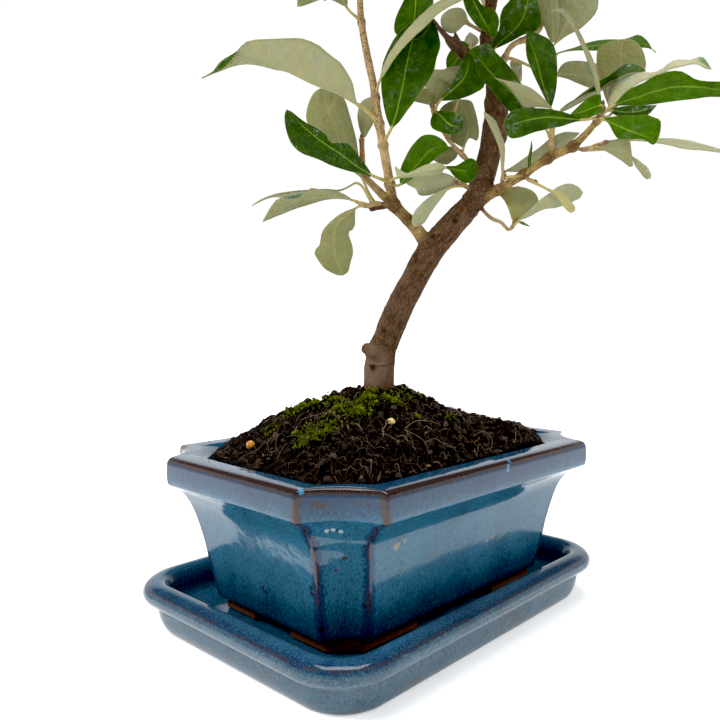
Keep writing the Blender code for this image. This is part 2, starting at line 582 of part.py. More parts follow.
def pellet_centre(across, toward):
    """A pellet lies half sunk in the mound."""
    height = soil_height_at(across * MM, toward * MM)
    return front(across, height / MM, toward) + Vector((0, 0, 0.3 * PELLET_RADIUS))


def ball(name, centre, radius, detail, finish=None):
    """A small round piece."""
    shape = bmesh.new()
    bmesh.ops.create_icosphere(shape, subdivisions=detail, radius=radius, matrix=Matrix.Translation(centre))
    mesh = bpy.data.meshes.new(name)
    shape.to_mesh(mesh)
    shape.free()
    mesh.shade_smooth()
    made = bpy.data.objects.new(name, mesh)
    bpy.context.scene.collection.objects.link(made)
    if finish is not None:
        mesh.materials.append(finish)
    return made


def smooth_path(points, per_span):
    """A curve through points, by Bezier spans with tangents from the neighbours."""
    path = []
    last = len(points) - 1
    for k in range(last):
        before = points[max(k - 1, 0)]
        after = points[min(k + 2, last)]
        lead = points[k] + (points[k + 1] - before) / 6
        trail = points[k + 1] - (after - points[k]) / 6
        span = interpolate_bezier(points[k], lead, trail, points[k + 1], per_span + 1)
        path.extend(span[:-1])
    path.append(points[last])
    return path


def tube(name, points, radii, sides, finish=None, extra=0.0):
    """A round stem along points, with a radius at each and flat ends moved out by an extra."""
    path = list(points)
    if extra:
        path[0] = path[0] + (path[0] - path[1]).normalized() * extra
        path[-1] = path[-1] + (path[-1] - path[-2]).normalized() * extra
    ahead = (path[1] - path[0]).normalized()
    side = ahead.orthogonal().normalized()
    rings = []
    for k, point in enumerate(path):
        before = path[max(k - 1, 0)]
        after = path[min(k + 1, len(path) - 1)]
        ahead = (after - before).normalized()
        side = (side - ahead * side.dot(ahead)).normalized()
        up = ahead.cross(side)
        rings.append([point + radii[k] * (side * math.cos(a) + up * math.sin(a))
                      for a in (2 * math.pi * j / sides for j in range(sides))])
    return add_object(name, *loft(rings), finish)


def along(path):
    """Running length at each point of a path."""
    runs = [0.0]
    for a, b in zip(path, path[1:]):
        runs.append(runs[-1] + (b - a).length)
    return runs


def point_on(path, runs, run):
    """The point and the direction at a running length."""
    run = min(max(run, 0.0), runs[-1])
    for k in range(len(path) - 1):
        if run <= runs[k + 1] or k == len(path) - 2:
            share = (run - runs[k]) / (runs[k + 1] - runs[k])
            return path[k].lerp(path[k + 1], share), (path[k + 1] - path[k]).normalized()


def shoot_path(name):
    """A leafy shoot's centre line, in world metres."""
    return smooth_path([front(*point) for point in SHOOTS[name]["path"]], 4)


def shoot_stretch(name, start, end, pieces):
    """Points and radii of the part of a shoot between two running lengths."""
    path = shoot_path(name)
    runs = along(path)
    radius_a, radius_b = SHOOTS[name]["radii"]
    end = min(end, runs[-1])
    points, radii = [], []
    for k in range(pieces + 1):
        run = blend(start, end, k / pieces)
        points.append(point_on(path, runs, run)[0])
        radii.append(blend(radius_a, radius_b, run / runs[-1]) * MM)
    return points, radii


def wood_pieces(grow):
    """Every woody stem of the trunk, thickened by a clearance where it serves as a cutter."""
    made = []
    for name, points in WOOD.items():
        path = smooth_wood(points, 2 if name == "trunk" else 1)
        sides = TRUNK_SIDES if name == "trunk" else 8
        made.append(tube(name, [p for p, r in path], [r * MM + grow for p, r in path], sides, extra=grow))
    for name, shoot in SHOOTS.items():
        points, radii = shoot_stretch(name, 0.0, shoot["spur"] * MM, 2)
        made.append(tube(name + "_spur", points, [r + grow for r in radii], 7, extra=grow))
    return made


def smooth_wood(points, per_span):
    """The smoothed centre line of a woody stem with its radius at each point."""
    places = smooth_path([front(*point[:3]) for point in points], per_span)
    radii = []
    for k in range(len(points) - 1):
        radii.extend(blend(points[k][3], points[k + 1][3], j / per_span) for j in range(per_span))
    radii.append(points[-1][3])
    return list(zip(places, radii))


def make_trunk(finish):
    """The wood that grew as one: trunk, limbs, stubs and the spurs that carry the shoots."""
    pieces = wood_pieces(0.0)
    trunk = pieces[0]
    fuse(trunk, pieces[1:])
    trunk.data.materials.clear()
    trunk.data.materials.append(finish)
    return trunk


def blade_frame(blade, share):
    """A point of the midrib with its side and upper-face directions."""
    base, middle, tip = blade["base"], blade["middle"], blade["tip"]
    bend = middle * 2 - (base + tip) / 2
    point = base * (1 - share) ** 2 + bend * 2 * share * (1 - share) + tip * share ** 2
    ahead = ((bend - base) * (1 - share) + (tip - bend) * share).normalized()
    upper = (blade["upper"] - ahead * blade["upper"].dot(ahead)).normalized()
    upper = Matrix.Rotation(math.radians(blade["twist"] * share), 3, ahead) @ upper
    return point, ahead, ahead.cross(upper), upper


def half_width(share, width, widest):
    """The blade's half width, rounded and largest at its widest place."""
    warped = share ** (math.log(0.5) / math.log(widest))
    return width / 2 * math.sin(math.pi * warped) ** BLADE_FULLNESS


def leaf(blade):
    """A waved blade on its stalk, split into triangles alike on both faces."""
    rise = BLADE_THICK / 2
    base, ahead, side, upper = blade_frame(blade, 0.0)
    stem = (base - blade["root"]).normalized()
    turning = (stem + ahead).normalized()
    base_side = turning.cross(upper).normalized()
    root_side = (base_side - stem * base_side.dot(stem)).normalized()
    rows = [
        [(blade["root"] + root_side * reach, root_side.cross(stem)) for reach in (-PETIOLE_HALF, PETIOLE_HALF)],
        [(base + base_side * reach, base_side.cross(turning)) for reach in (-PETIOLE_HALF, PETIOLE_HALF)],
    ]
    for k, share in enumerate(BLADE_STATIONS):
        point, ahead, side, upper = blade_frame(blade, share)
        half = half_width(share, blade["width"], blade["widest"])
        wave = BLADE_WAVE * half * (1 if k % 2 else -1)
        lift = upper * (BLADE_FOLD * half)
        rows.append([(point - side * half + lift + upper * wave, upper), (point, upper),
                     (point + side * half + lift - upper * wave, upper)])
    tip, ahead, side, upper = blade_frame(blade, 1.0)
    rows.append([(tip, upper)])
    verts = []
    index = []
    for row in rows:
        index.append([(len(verts) + 2 * k, len(verts) + 2 * k + 1) for k in range(len(row))])
        for point, upper in row:
            verts.extend((point + upper * rise, point - upper * rise))
    faces = [[index[0][0][0], index[0][1][0], index[0][1][1], index[0][0][1]]]
    for low, high in zip(index, index[1:]):
        for triangle in strip(low, high):
            faces.append([v[0] for v in triangle])
            faces.append([v[1] for v in reversed(triangle)])
        for a, b in ((low[0], high[0]), (high[-1], low[-1])):
            faces.append([a[0], b[0], b[1]])
            faces.append([a[0], b[1], a[1]])
    return add_object("leaf", verts, faces)


def strip(low, high):
    """Triangles between two rows of one to three points."""
    if len(low) == len(high):
        return [t for k in range(len(low) - 1)
                for t in ((low[k], low[k + 1], high[k]), (low[k + 1], high[k + 1], high[k]))]
    if len(low) == 2:
        return [(low[0], high[1], high[0]), (low[0], low[1], high[1]), (low[1], high[2], high[1])]
    return [(low[0], low[1], high[0]), (low[1], low[2], high[0])]


def stalk_root(path, runs, base, start):
    """Where a leaf's stalk leaves its shoot: below the blade, so that it rises at a slant."""
    nearest = min(range(len(path)), key=lambda k: (path[k] - base).length)
    away = (path[nearest] - base).length
    return point_on(path, runs, max(start, runs[nearest] - 0.9 * away))[0]


def seen_blade(name, path, runs, row):
    """A leaf of the picture, in world metres, on the stalk that its shoot gives it."""
    base, middle, tip = (front(*place) for place in row[:3])
    width, turn, twist, widest = row[3:]
    axis = (tip - base).normalized()
    facing = (TOWARD - axis * TOWARD.dot(axis)).normalized()
    angle = math.radians(turn)
    upper = facing * math.cos(angle) + axis.cross(facing) * math.sin(angle)
    root = stalk_root(path, runs, base, (SHOOTS[name]["spur"] + 1.2) * MM)
    return dict(root=root, base=base, middle=middle, tip=tip, width=width * MM, upper=upper,
                twist=twist, widest=widest)


def rule_blade(root, ahead, spin, lean, length, sag, widest):
    """A leaf set at an angle round its shoot, its upper face toward the shoot's tip."""
    out = Matrix.Rotation(spin, 3, ahead) @ ahead.orthogonal().normalized()
    way = (out * (1 - lean * 0.4) + ahead * lean).normalized()
    upper = (ahead - way * ahead.dot(way)).normalized()
    base = root + way * RULE_STALK
    return dict(root=root, base=base, middle=base + way * (length * 0.5) + upper * (length * 0.06),
                tip=base + way * length + Vector((0, 0, -sag * length)), width=length * LEAF_ASPECT,
                upper=upper, twist=0, widest=widest)


def marks_of(blade):
    """Points spread over a blade, for keeping leaves apart."""
    marks = []
    for share in (0.16, 0.3, 0.44, 0.58, 0.72, 0.86, 1.0):
        point, ahead, side, upper = blade_frame(blade, share)
        half = half_width(min(share, 0.97), blade["width"], blade["widest"])
        marks.extend(point + side * half * reach for reach in (-0.95, -0.48, 0, 0.48, 0.95))
    return marks


def is_free(blade, taken):
    """A leaf by rule stays above the picture's top edge and clear of every other piece."""
    for mark in marks_of(blade):
        if mark.z < PICTURE_TOP - PICTURE_TOP_FALL * mark.dot(TOWARD):
            return False
        if taken.find(mark)[2] < LEAF_SPACING:
            return False
    return True


def tree_of(points):
    """A search tree over points."""
    made = KDTree(len(points))
    for k, point in enumerate(points):
        made.insert(point, k)
    made.balance()
    return made


def plan_leaves():
    """Every shoot's leaves: those of the picture first, then those by rule where there is room."""
    draw = random.Random(SEED)
    leaves = {}
    filled = [p for points in WOOD.values() for p, r in smooth_wood(points, 4)]
    for name in SHOOTS:
        path = shoot_path(name)
        filled.extend(path)
        leaves[name] = [seen_blade(name, path, along(path), row) for row in SEEN_LEAVES.get(name, [])]
        for blade in leaves[name]:
            filled.extend(marks_of(blade))
    for name, (count, start, size) in RULE_LEAVES.items():
        path = shoot_path(name)
        runs = along(path)
        for k in range(count):
            share = blend(start, 1.0, k / (count - 1))
            root, ahead = point_on(path, runs, runs[-1] * share)
            length = size * MM * draw.uniform(0.8, 1.05) * (1.05 - 0.3 * share)
            sag = draw.uniform(0.05, 0.28)
            widest = draw.uniform(0.45, 0.62)
            lean = 1.0 if k == count - 1 else draw.uniform(0.3, 0.7)
            taken = tree_of(filled)
            for turn in range(12):
                spin = k * GOLDEN_ANGLE + turn * SPIN_STEP
                blade = rule_blade(root, ahead, spin, lean, length, sag, widest)
                if is_free(blade, taken):
                    leaves[name].append(blade)
                    filled.extend(marks_of(blade))
                    break
    return leaves


def make_shoot(name, blades, finish):
    """A leafy shoot: its stem and its leaves in one body."""
    start = SHOOTS[name]["spur"] * MM - SHOOT_OVERLAP
    length = along(shoot_path(name))[-1]
    pieces = max(2, round((length - start) / (9 * MM)))
    points, radii = shoot_stretch(name, start, length, pieces)
    shoot = tube(name, points, radii, 6)
    fuse(shoot, [leaf(blade) for blade in blades])
    shoot.data.materials.clear()
    shoot.data.materials.append(finish)
    return shoot


def build():
    """Make every piece."""
    clear_scene()
    glaze = material("blue_glaze", (0.075, 0.19, 0.32), 0.12)
    earth = material("potting_soil", (0.030, 0.020, 0.014), 0.95)
    bark = material("bark", (0.14, 0.085, 0.055), 0.85)
    foliage = material("leaf", (0.09, 0.17, 0.05), 0.45)
    prill = material("fertiliser", (0.70, 0.40, 0.06), 0.4)
    plastic = material("drain_mesh_plastic", (0.02, 0.02, 0.02), 0.5)
    make_saucer(glaze)
    make_pot(glaze)
    make_drain_mesh("drain_mesh_left", -DRAIN_HOLE_X, plastic)
    make_drain_mesh("drain_mesh_right", DRAIN_HOLE_X, plastic)
    make_soil(earth)
    for number, (across, toward) in enumerate(PELLETS, 1):
        ball("fertiliser_pellet_%d" % number, pellet_centre(across, toward), PELLET_RADIUS, 2, prill)
    make_trunk(bark)
    clearance = wood_pieces(GAP)
    fat_wood = clearance[0]
    fat_wood.name = "wood_clearance"
    fuse(fat_wood, clearance[1:])
    for name, blades in plan_leaves().items():
        cut(make_shoot(name, blades, foliage), fat_wood)


build()
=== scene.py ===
import json
import math
import random

import bmesh
import bpy
from mathutils import Matrix, Vector, noise
from mathutils.bvhtree import BVHTree
from mathutils.geometry import interpolate_bezier
from mathutils.kdtree import KDTree

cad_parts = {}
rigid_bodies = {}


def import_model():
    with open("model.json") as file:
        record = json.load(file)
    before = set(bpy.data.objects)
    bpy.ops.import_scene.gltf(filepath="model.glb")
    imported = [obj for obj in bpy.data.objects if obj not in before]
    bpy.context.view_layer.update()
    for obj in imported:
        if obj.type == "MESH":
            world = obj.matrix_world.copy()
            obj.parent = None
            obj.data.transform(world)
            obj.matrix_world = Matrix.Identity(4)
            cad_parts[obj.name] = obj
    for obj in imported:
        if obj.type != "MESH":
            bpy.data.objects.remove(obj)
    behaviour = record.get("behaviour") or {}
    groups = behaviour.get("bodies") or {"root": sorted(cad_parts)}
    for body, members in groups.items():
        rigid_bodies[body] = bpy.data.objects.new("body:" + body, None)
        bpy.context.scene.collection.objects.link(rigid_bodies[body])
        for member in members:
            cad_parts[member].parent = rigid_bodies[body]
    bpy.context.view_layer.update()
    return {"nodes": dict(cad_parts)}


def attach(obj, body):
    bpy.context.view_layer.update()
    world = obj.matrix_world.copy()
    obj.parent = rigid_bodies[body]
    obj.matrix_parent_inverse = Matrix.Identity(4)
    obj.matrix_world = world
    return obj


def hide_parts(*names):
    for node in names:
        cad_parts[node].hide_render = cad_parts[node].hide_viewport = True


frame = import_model()

MM = 0.001
FRONT_BEARING = math.radians(-46.5)
ACROSS = Vector((math.cos(FRONT_BEARING), math.sin(FRONT_BEARING), 0))
TOWARD = Vector((math.sin(FRONT_BEARING), -math.cos(FRONT_BEARING), 0))

# Camera, worked out from the photograph
CAMERA_TARGET = Vector((0, 0, 98.9)) * MM
CAMERA_RISE = math.radians(3.75)
CAMERA_DISTANCE = 289.2 * MM
CAMERA_LENS = 36.55
CAMERA_SHIFT_X = -0.0353
SENSOR_WIDTH = 36.0
PICTURE_SIZE = 720
CAMERA_BACK = TOWARD * math.cos(CAMERA_RISE) + Vector((0, 0, math.sin(CAMERA_RISE)))
CAMERA_PLACE = CAMERA_TARGET + CAMERA_BACK * CAMERA_DISTANCE
CORNERS = ((1, 1), (-1, 1), (-1, -1), (1, -1))

# ---------------------------------------------------------------- the CAD's own sizes
SAUCER_INNER_LENGTH, SAUCER_INNER_WIDTH, SAUCER_INNER_CORNER = 142, 102, 12.6
SAUCER_TURN = math.radians(1.0)
SAUCER_SHIFT = Vector((-2.0, 1.3))
SAUCER_PROFILE = [
    (0.2, 0.0), (1.3, 1.2), (2.7, 4.5), (3.3, 8.2), (3.2, 10.2), (6.2, 11.2), (8.0, 13.2), (8.2, 15.4),
    (6.6, 17.4), (3.8, 18.4), (1.5, 18.3), (0.0, 17.4), (-1.4, 14.5), (-2.4, 10.4), (-4.0, 8.3), (-6.5, 7.6),
]
SAUCER_FOOT_SPREAD, SAUCER_FOOT_ROUND, SAUCER_ROLL = 1.0, 3.6, 10.0
ARC_STEPS, STRAIGHT_STEPS = 12, 10
SAUCER_WAVES = ((0.14, 28), (0.07, 75))     # the fired clay's unevenness: size and fineness

POT_LENGTH, POT_WIDTH, POT_RIM = 152.2, 113.0, 66.0
POT_REST, POT_UNDERSIDE, POT_FLOOR = 7.9, 13.8, 18.6
PANEL_LEGS = [(0.0, 17.6, 20.8), (8.5, 12.3, 12.3), (16.8, 11.0, 9.9)]
PANEL_HOLLOW = [(0.0, 3.8), (8.5, 2.4), (16.8, 1.8)]
PANEL_EDGE_ROUND = 1.7
POT_OUTSIDE = [
    (22.5, 23.8, 13.8), (21.0, 22.3, 12.8), (17.4, 18.7, 12.4), (16.2, 17.5, 13.6), (13.9, 15.3, 24.5),
    (12.4, 13.9, 33.0), (10.6, 12.2, 41.0), (8.6, 10.7, 47.0), (6.4, 8.3, 51.0), (4.2, 5.2, 53.9),
    (1.6, 1.9, 55.4), (0.2, 0.2, 56.8), (0.0, 0.0, 63.4), (0.7, 0.7, 65.2), (2.4, 2.4, 66.0),
    (9.0, 9.0, 66.0),
]
POT_INSIDE = [(11.4, 65.0), (12.5, 62.5), (13.8, 52.0), (18.0, 26.0), (20.6, 19.8), (23.2, 18.6)]
SIDE_STEPS = 18
INSIDE_LONG_EXTRA, INSIDE_LEG, INSIDE_CORNER_BULGE = 1.0, 17.0, 1.6
FOOT_SETBACK_X, FOOT_SETBACK_Y, FOOT_END_X, FOOT_END_Y = 19.0, 20.2, 22.0, 10.0
FOOT_LEG, FOOT_THICK = 9.5, 8.0
DRAIN_HOLE_X, DRAIN_HOLE_RADIUS, DRAIN_HOLE_SIDES = 30.0, 4.5, 24
POT_WAVES = ((0.16, 24), (0.05, 90))

MOUND_TOP, MOUND_EDGE, MOUND_EDGE_TILT, MOUND_POWER = 89.5, 65.6, 1.7, 1.25
MOUND_LUMPS = [(-40, 2, 2.2, 14), (31, -12, -4.4, 16), (56, -3, 2.0, 10), (-8, 30, -1.5, 12)]
SOIL_CLEAR = 0.3

TRUNK = [
    (-2.5, 64, 0, 6.3), (-2.5, 84, 0, 6.3), (-2.5, 94, 0, 6.1), (-1.5, 102, 0, 5.7), (0.5, 107.5, 0, 5.3),
    (5.5, 119.5, 0, 5.3), (11.5, 131, 0, 5.1), (17.5, 141.5, 0, 5.3), (23.5, 149, 0, 5.1),
    (30.5, 156.5, 0, 4.7), (35.5, 163, 0, 4.4), (38, 170.5, 0, 4.6), (41, 181, -1, 4.3),
    (42.5, 190.5, -2, 4.4), (43.5, 199.5, -3, 4.6), (42.5, 209.5, -3, 3.5), (39.5, 220.5, -3, 2.7),
    (39.5, 229, -3, 2.5), (41, 238, -2, 2.2), (41.5, 246, -1, 1.9),
]
LEFT_ARM = [(17.5, 143.5, 0, 3.2), (12, 150, 2, 2.5), (7, 155, 4, 2.2), (3, 159, 5, 2.4),
            (2.4, 161.5, 5.3, 2.1)]
RIGHT_LIMB = [
    (35, 159, 2, 2.6), (40, 162.5, 4, 2.2), (48.5, 167.5, 7, 2.0), (60.5, 175, 10, 1.9),
    (69, 179, 13, 1.9), (73.5, 183, 15, 1.6), (76.5, 186.4, 16.4, 1.4),
]
PRUNED_STUB = [(-2, 101.5, 2, 3.0), (-6.5, 103.5, 4.5, 2.4), (-8.6, 104.2, 5.6, 1.7)]
BROKEN_STUB = [
    (41, 211.5, -2, 2.7), (34, 214.5, -1, 2.5), (29, 218, 0.5, 2.5), (25.3, 220.8, 1.5, 1.8),
    (23.2, 222.8, 2, 1.1), (20.5, 225.5, 2.8, 1.0), (17.5, 229, 3.2, 0.8),
]
SPLINTER = [(28.5, 217.5, 0.5, 1.9), (27.4, 221.5, 1.0, 1.4), (26.6, 224.4, 1.2, 0.6),
            (26.3, 225.6, 1.3, 0.3)]
WOOD = [TRUNK, LEFT_ARM, RIGHT_LIMB, PRUNED_STUB, BROKEN_STUB, SPLINTER]

# Each shoot: its path, how far the trunk's spur carries it, its two radii, and its leaves:
# blade base, middle and tip, width, turn of the upper face away from the viewer, twist by the
# tip, and where it is widest. A last entry names its look where it isn't the usual one.
SHOOTS = {
    "leader_shoot": dict(
        path=[(2.6, 161, 5.2), (1, 170.5, 6), (-0.5, 179, 6), (-3, 193, 7), (-4.5, 203, 8), (-7, 214.5, 8),
              (-9, 226.5, 7), (-9.5, 237, 6), (-8.5, 249, 4), (-6, 261, 2), (-3, 272, 0)],
        spur=4.5, radii=(1.75, 0.8), leaves=[
            ((-11.5, 196.5, 10), (-32.5, 210.5, 16), (-65, 201, 22), 14.5, 165, -30, 0.42),
            ((-6, 169, 11), (-22, 178.5, 16), (-36, 191.5, 19), 15, 20, 0, 0.64),
            ((-14.5, 230.5, 10), (-22, 237, 14), (-31.5, 227.5, 18), 11.5, 160, 0, 0.5),
            ((0, 208.5, 12), (14, 222.5, 20), (32.5, 232.5, 24), 12, 112, 0, 0.6),
            ((2.5, 186, 10), (9, 205, 13), (16.5, 225, 12), 20.5, -12, 0, 0.5),
            ((5.5, 167.5, 9), (13.5, 176, 11), (21.5, 182, 12), 13, 10, 0, 0.6),
            ((5.5, 168.5, 14), (18, 169.5, 18), (33, 169, 21), 10.5, 150, -120, 0.65),
        ]),
    "left_side_shoot": dict(
        path=[(3.5, 158.5, 4), (-4, 166, 1.5), (-8.5, 171.5, -0.5), (-9, 178, -1.5), (-9.3, 186, -2)],
        spur=7.5, radii=(1.3, 0.75),
        leaves=[((-8.7, 187.5, -2), (-8, 195, -3), (-6, 202.5, -4), 6, 170, 0, 0.55)]),
    "left_low_shoot": dict(
        path=[(4, 158, 5), (-3, 158.7, 8), (-7, 157.8, 10), (-10.5, 159, 11)],
        spur=7.0, radii=(1.0, 0.7), leaves=[
            ((-13, 160, 12), (-28, 159.5, 16), (-45, 150.5, 20), 9.5, 160, 0, 0.55),
            ((-12.5, 161, 9), (-32.5, 163.5, 8), (-51, 158.5, 7), 6, 120, 0, 0.5),
            ((-10.5, 157, 13), (-18.5, 145, 17), (-16, 131, 18), 15.5, 172, 0, 0.7),
            ((-11.5, 171.5, 5), (-19, 187.5, 3), (-26, 204, 1), 17.5, 175, 0, 0.62),
        ]),
    "inner_shoot": dict(
        path=[(37, 171.5, 1), (29, 178, 5), (24.5, 182.5, 6.5), (19.5, 189.5, 7), (17.5, 195, 7)],
        spur=9.0, radii=(1.1, 0.65), leaves=[
            ((19.5, 196.5, 8), (27, 202.5, 9), (30.5, 213, 9), 14.5, 15, 0, 0.5),
            ((19.5, 192.5, 9), (24, 188, 12), (28.5, 185, 13), 9.5, 10, 0, 0.6),
            ((18.5, 196.5, 5), (22, 205, 2), (29.5, 213, -2), 10, 170, 0, 0.5),
            ((17.5, 197, 4), (13.5, 200, 0), (6.5, 204, -4), 6.5, 160, 0, 0.5),
            ((28, 180, 3), (23.5, 178.5, 0), (19, 177.5, -3), 7, 165, 0, 0.5),
            ((32, 182.5, 6), (32, 192.5, 4.5), (26, 202.5, 1), 13, 172, 0, 0.5),
        ]),
    "low_inner_shoot": dict(
        path=[(35, 162.5, 1), (31, 165.5, 6), (27, 166.5, 8.5)],
        spur=7.0, radii=(0.9, 0.7), leaves=[
            ((27.5, 166.5, 8), (19, 165.5, 7), (10, 166.5, 5), 9, 170, 0, 0.5),
            ((23, 164, 9), (16.5, 158.5, 10), (11, 150, 10), 6.5, 175, 0, 0.6),
        ]),
    "right_tip_shoot": dict(
        path=[(76.5, 186.4, 16.4), (78, 188.5, 17), (78.5, 190.7, 17.6), (78.8, 193, 18)],
        spur=0.6, radii=(1.5, 1.1), leaves=[
            ((77.5, 196, 18), (71.5, 211, 22), (61, 229, 26), 9, 100, 0, 0.7),
            ((82.5, 197.5, 11), (88, 209.5, 5), (91, 222.5, 1), 18, 175, 0, 0.66),
            ((76, 193, 20), (71.5, 190.5, 20.5), (65, 186.5, 21), 9, 15, 0, 0.45),
            ((80.5, 193.5, 20), (93, 200, 26), (111.5, 201, 31), 9, 112, 0, 0.6),
            ((82, 191.5, 22), (97, 194, 32), (117.5, 192, 40), 12, 20, 0, 0.45),
            ((83.5, 192, 14), (93, 193, 10), (102.5, 196.5, 8), 7, 20, 0, 0.5),
            ((80, 187, 23), (86, 182.5, 28), (94, 178.5, 33), 11, 15, 0, 0.72),
            ((72, 186, 24), (55.5, 184.5, 30), (40.5, 180.5, 34), 11.5, -15, 0, 0.62),
        ]),
    "right_mid_shoot": dict(
        path=[(52.5, 170, 8), (53.5, 167.5, 10.5), (55.5, 166.5, 12.5)],
        spur=3.2, radii=(0.75, 0.6),
        leaves=[((58, 163.5, 17), (62.5, 158.5, 22), (66.5, 153, 24), 7, 170, 0, 0.7, "yellow")]),
    "right_upright_shoot": dict(
        path=[(62.5, 175.5, 10.5), (62, 181.5, 12), (61.5, 186.5, 12.5)],
        spur=3.5, radii=(1.3, 0.9), leaves=[
            ((60.5, 193, 15), (58, 206, 17), (51, 218, 18), 11.5, 25, 0, 0.58),
            ((59, 192, 18), (50, 195.5, 22), (38, 200, 26), 9, 165, 0, 0.5),
            ((55, 192.5, 10), (44, 203, 10), (31.5, 214.5, 12), 16, -15, 0, 0.5),
            ((65, 192.5, 12), (81, 202.5, 13), (96.5, 208, 13), 7.5, 55, 0, 0.6),
        ]),
    "right_side_shoot": dict(
        path=[(69.5, 178.8, 13), (72.5, 177.3, 16), (75.5, 177.8, 18), (79, 179, 20)],
        spur=4.0, radii=(0.85, 0.65), leaves=[
            ((79.5, 177.8, 20), (84, 176, 22), (88.5, 169.5, 23), 9.5, 170, 0, 0.6),
            ((82, 177.5, 15.5), (92, 172.5, 15), (97, 166.5, 15), 5.5, 170, 0, 0.75),
            ((84, 181, 17), (106, 180, 14), (130.5, 177, 12), 7.5, 118, 0, 0.5),
        ]),
    "right_base_shoot": dict(
        path=[(43, 164, 5), (44.3, 167, 6.5), (44.7, 170.5, 7)],
        spur=3.6, radii=(0.8, 0.6), leaves=[
            ((47, 172, 3), (63, 181, -4), (78, 190, -8), 10.5, 170, 0, 0.62),
            ((44, 172.5, 12), (41.5, 181.5, 15), (36, 190.5, 17), 6.5, 150, 0, 0.5),
        ]),
    "right_hanging_shoot": dict(
        path=[(35.5, 160, 1), (40.3, 154, 5), (44, 152, 7), (47, 149, 8), (49.4, 152, 9)],
        spur=8.0, radii=(0.9, 0.6), leaves=[
            ((49.5, 153, 7), (50.5, 159.5, 4), (52, 166, 1), 14, 175, 0, 0.62, "olive"),
            ((50.5, 152, 10), (62, 157.5, 13), (73, 163, 15), 9.5, 165, 0, 0.7),
            ((50.5, 151.8, 7), (53, 151.3, 5), (56.5, 150.3, 3), 3, 20, 0, 0.5),
        ]),
    "upper_left_shoot": dict(
        path=[(40, 225.5, -3), (36, 226.3, -0.5), (33, 227, 1.5), (31, 227.4, 3)],
        spur=4.2, radii=(0.85, 0.6),
        leaves=[((29, 227.5, 4), (25.5, 229.5, 3), (21, 230, 2), 10.5, 175, 0, 0.62)]),
    "upper_back_shoot": dict(
        path=[(37, 216, -1), (35.3, 218.8, -4.2), (34, 221, -6.4)],
        spur=3.4, radii=(0.9, 0.65), leaves=[
            ((33, 221.5, -6), (29.5, 219.5, -9), (25.5, 213.5, -12), 10, 25, 0, 0.5),
            ((34, 222.5, -8), (34.5, 226.5, -12), (34.5, 231.5, -18), 6, 170, 0, 0.5),
        ]),
    "upper_right_shoot": dict(
        path=[(43.5, 206.5, -4), (47, 217.5, -8), (50.5, 224, -11), (57, 228, -14), (62.5, 232, -17),
              (64, 238, -18), (65, 250, -18)],
        spur=7.5, radii=(1.5, 0.7), leaves=[
            ((45, 219, -1), (51, 228, 6), (57.5, 241, 12), 17.5, 10, 0, 0.55),
            ((62, 252, -9), (64, 238.5, -8), (65.5, 224.5, -9), 10.5, 172, 0, 0.5),
            ((69, 228, -19), (79.5, 242.5, -24), (90.5, 257, -28), 17.5, 170, 0, 0.6),
            ((72, 224, -19), (93.5, 231.5, -26), (115.5, 228.5, -32), 9, 50, 0, 0.6),
            ((66, 216, -13), (80.5, 215, -16), (91, 214.5, -20), 11, 170, 0, 0.5),
            ((55, 211, -15), (53, 217, -19), (52, 223.5, -22), 7, 165, 0, 0.6),
        ]),
    "crown_top_shoot": dict(
        path=[(41.5, 246, -1), (42, 251, 0), (40, 264, 2), (42, 278, 3), (40, 292, 4)],
        spur=0.6, radii=(1.6, 0.7), leaves=[]),
    "crown_left_shoot": dict(
        path=[(40.5, 236.5, -2), (34, 245, 2), (27, 253, 7), (21, 264, 10), (18, 277, 11)],
        spur=6.5, radii=(1.4, 0.7), leaves=[
            ((15.5, 250.5, 11), (10, 236.5, 12), (4.5, 222.5, 13), 14.5, 20, 0, 0.5),
            ((29.5, 241.5, 11), (36, 230.5, 12), (41, 221.5, 13), 10, 10, 0, 0.5),
        ]),
    "crown_right_shoot": dict(
        path=[(41.3, 243.5, -1), (49, 252, -3), (58, 262, -6), (66, 274, -8)],
        spur=7.0, radii=(1.3, 0.7), leaves=[]),
    "crown_front_shoot": dict(
        path=[(41, 240, -2), (40, 249, 11), (35, 260, 22), (34, 272, 28)],
        spur=9.0, radii=(1.2, 0.7), leaves=[]),
    "crown_back_shoot": dict(
        path=[(39.6, 226, -3), (42, 236, -16), (41, 249, -28), (38, 262, -36)],
        spur=8.5, radii=(1.3, 0.7), leaves=[]),
}
RULE_LEAVES = {
    "leader_shoot": (8, 0.72, 34), "crown_top_shoot": (10, 0.14, 33), "crown_left_shoot": (8, 0.42, 31),
    "crown_right_shoot": (8, 0.3, 33), "crown_front_shoot": (8, 0.4, 31), "crown_back_shoot": (9, 0.36, 34),
    "upper_right_shoot": (3, 0.86, 27),
}
GOLDEN_ANGLE, SPIN_STEP = math.radians(137.5), math.radians(33)
RULE_STALK, LEAF_ASPECT, LEAF_SPACING = 4.5, 0.42, 3.4
PICTURE_TOP, PICTURE_TOP_FALL = 240 * MM, 0.41
SEED = 11
CRUMBS, FIBRES, CHIPS = 1900, 1250, 90
BLADE_FULLNESS, BLADE_FOLD = 0.72, 0.16


# ---------------------------------------------------------------- mesh helpers
def in_scene(name, data):
    made = bpy.data.objects.new(name, data)
    bpy.context.scene.collection.objects.link(made)
    return made


def set_values(mesh, key, row, kind="FLOAT", field="value"):
    mesh.attributes.new(key, kind, "POINT").data.foreach_set(field, row)


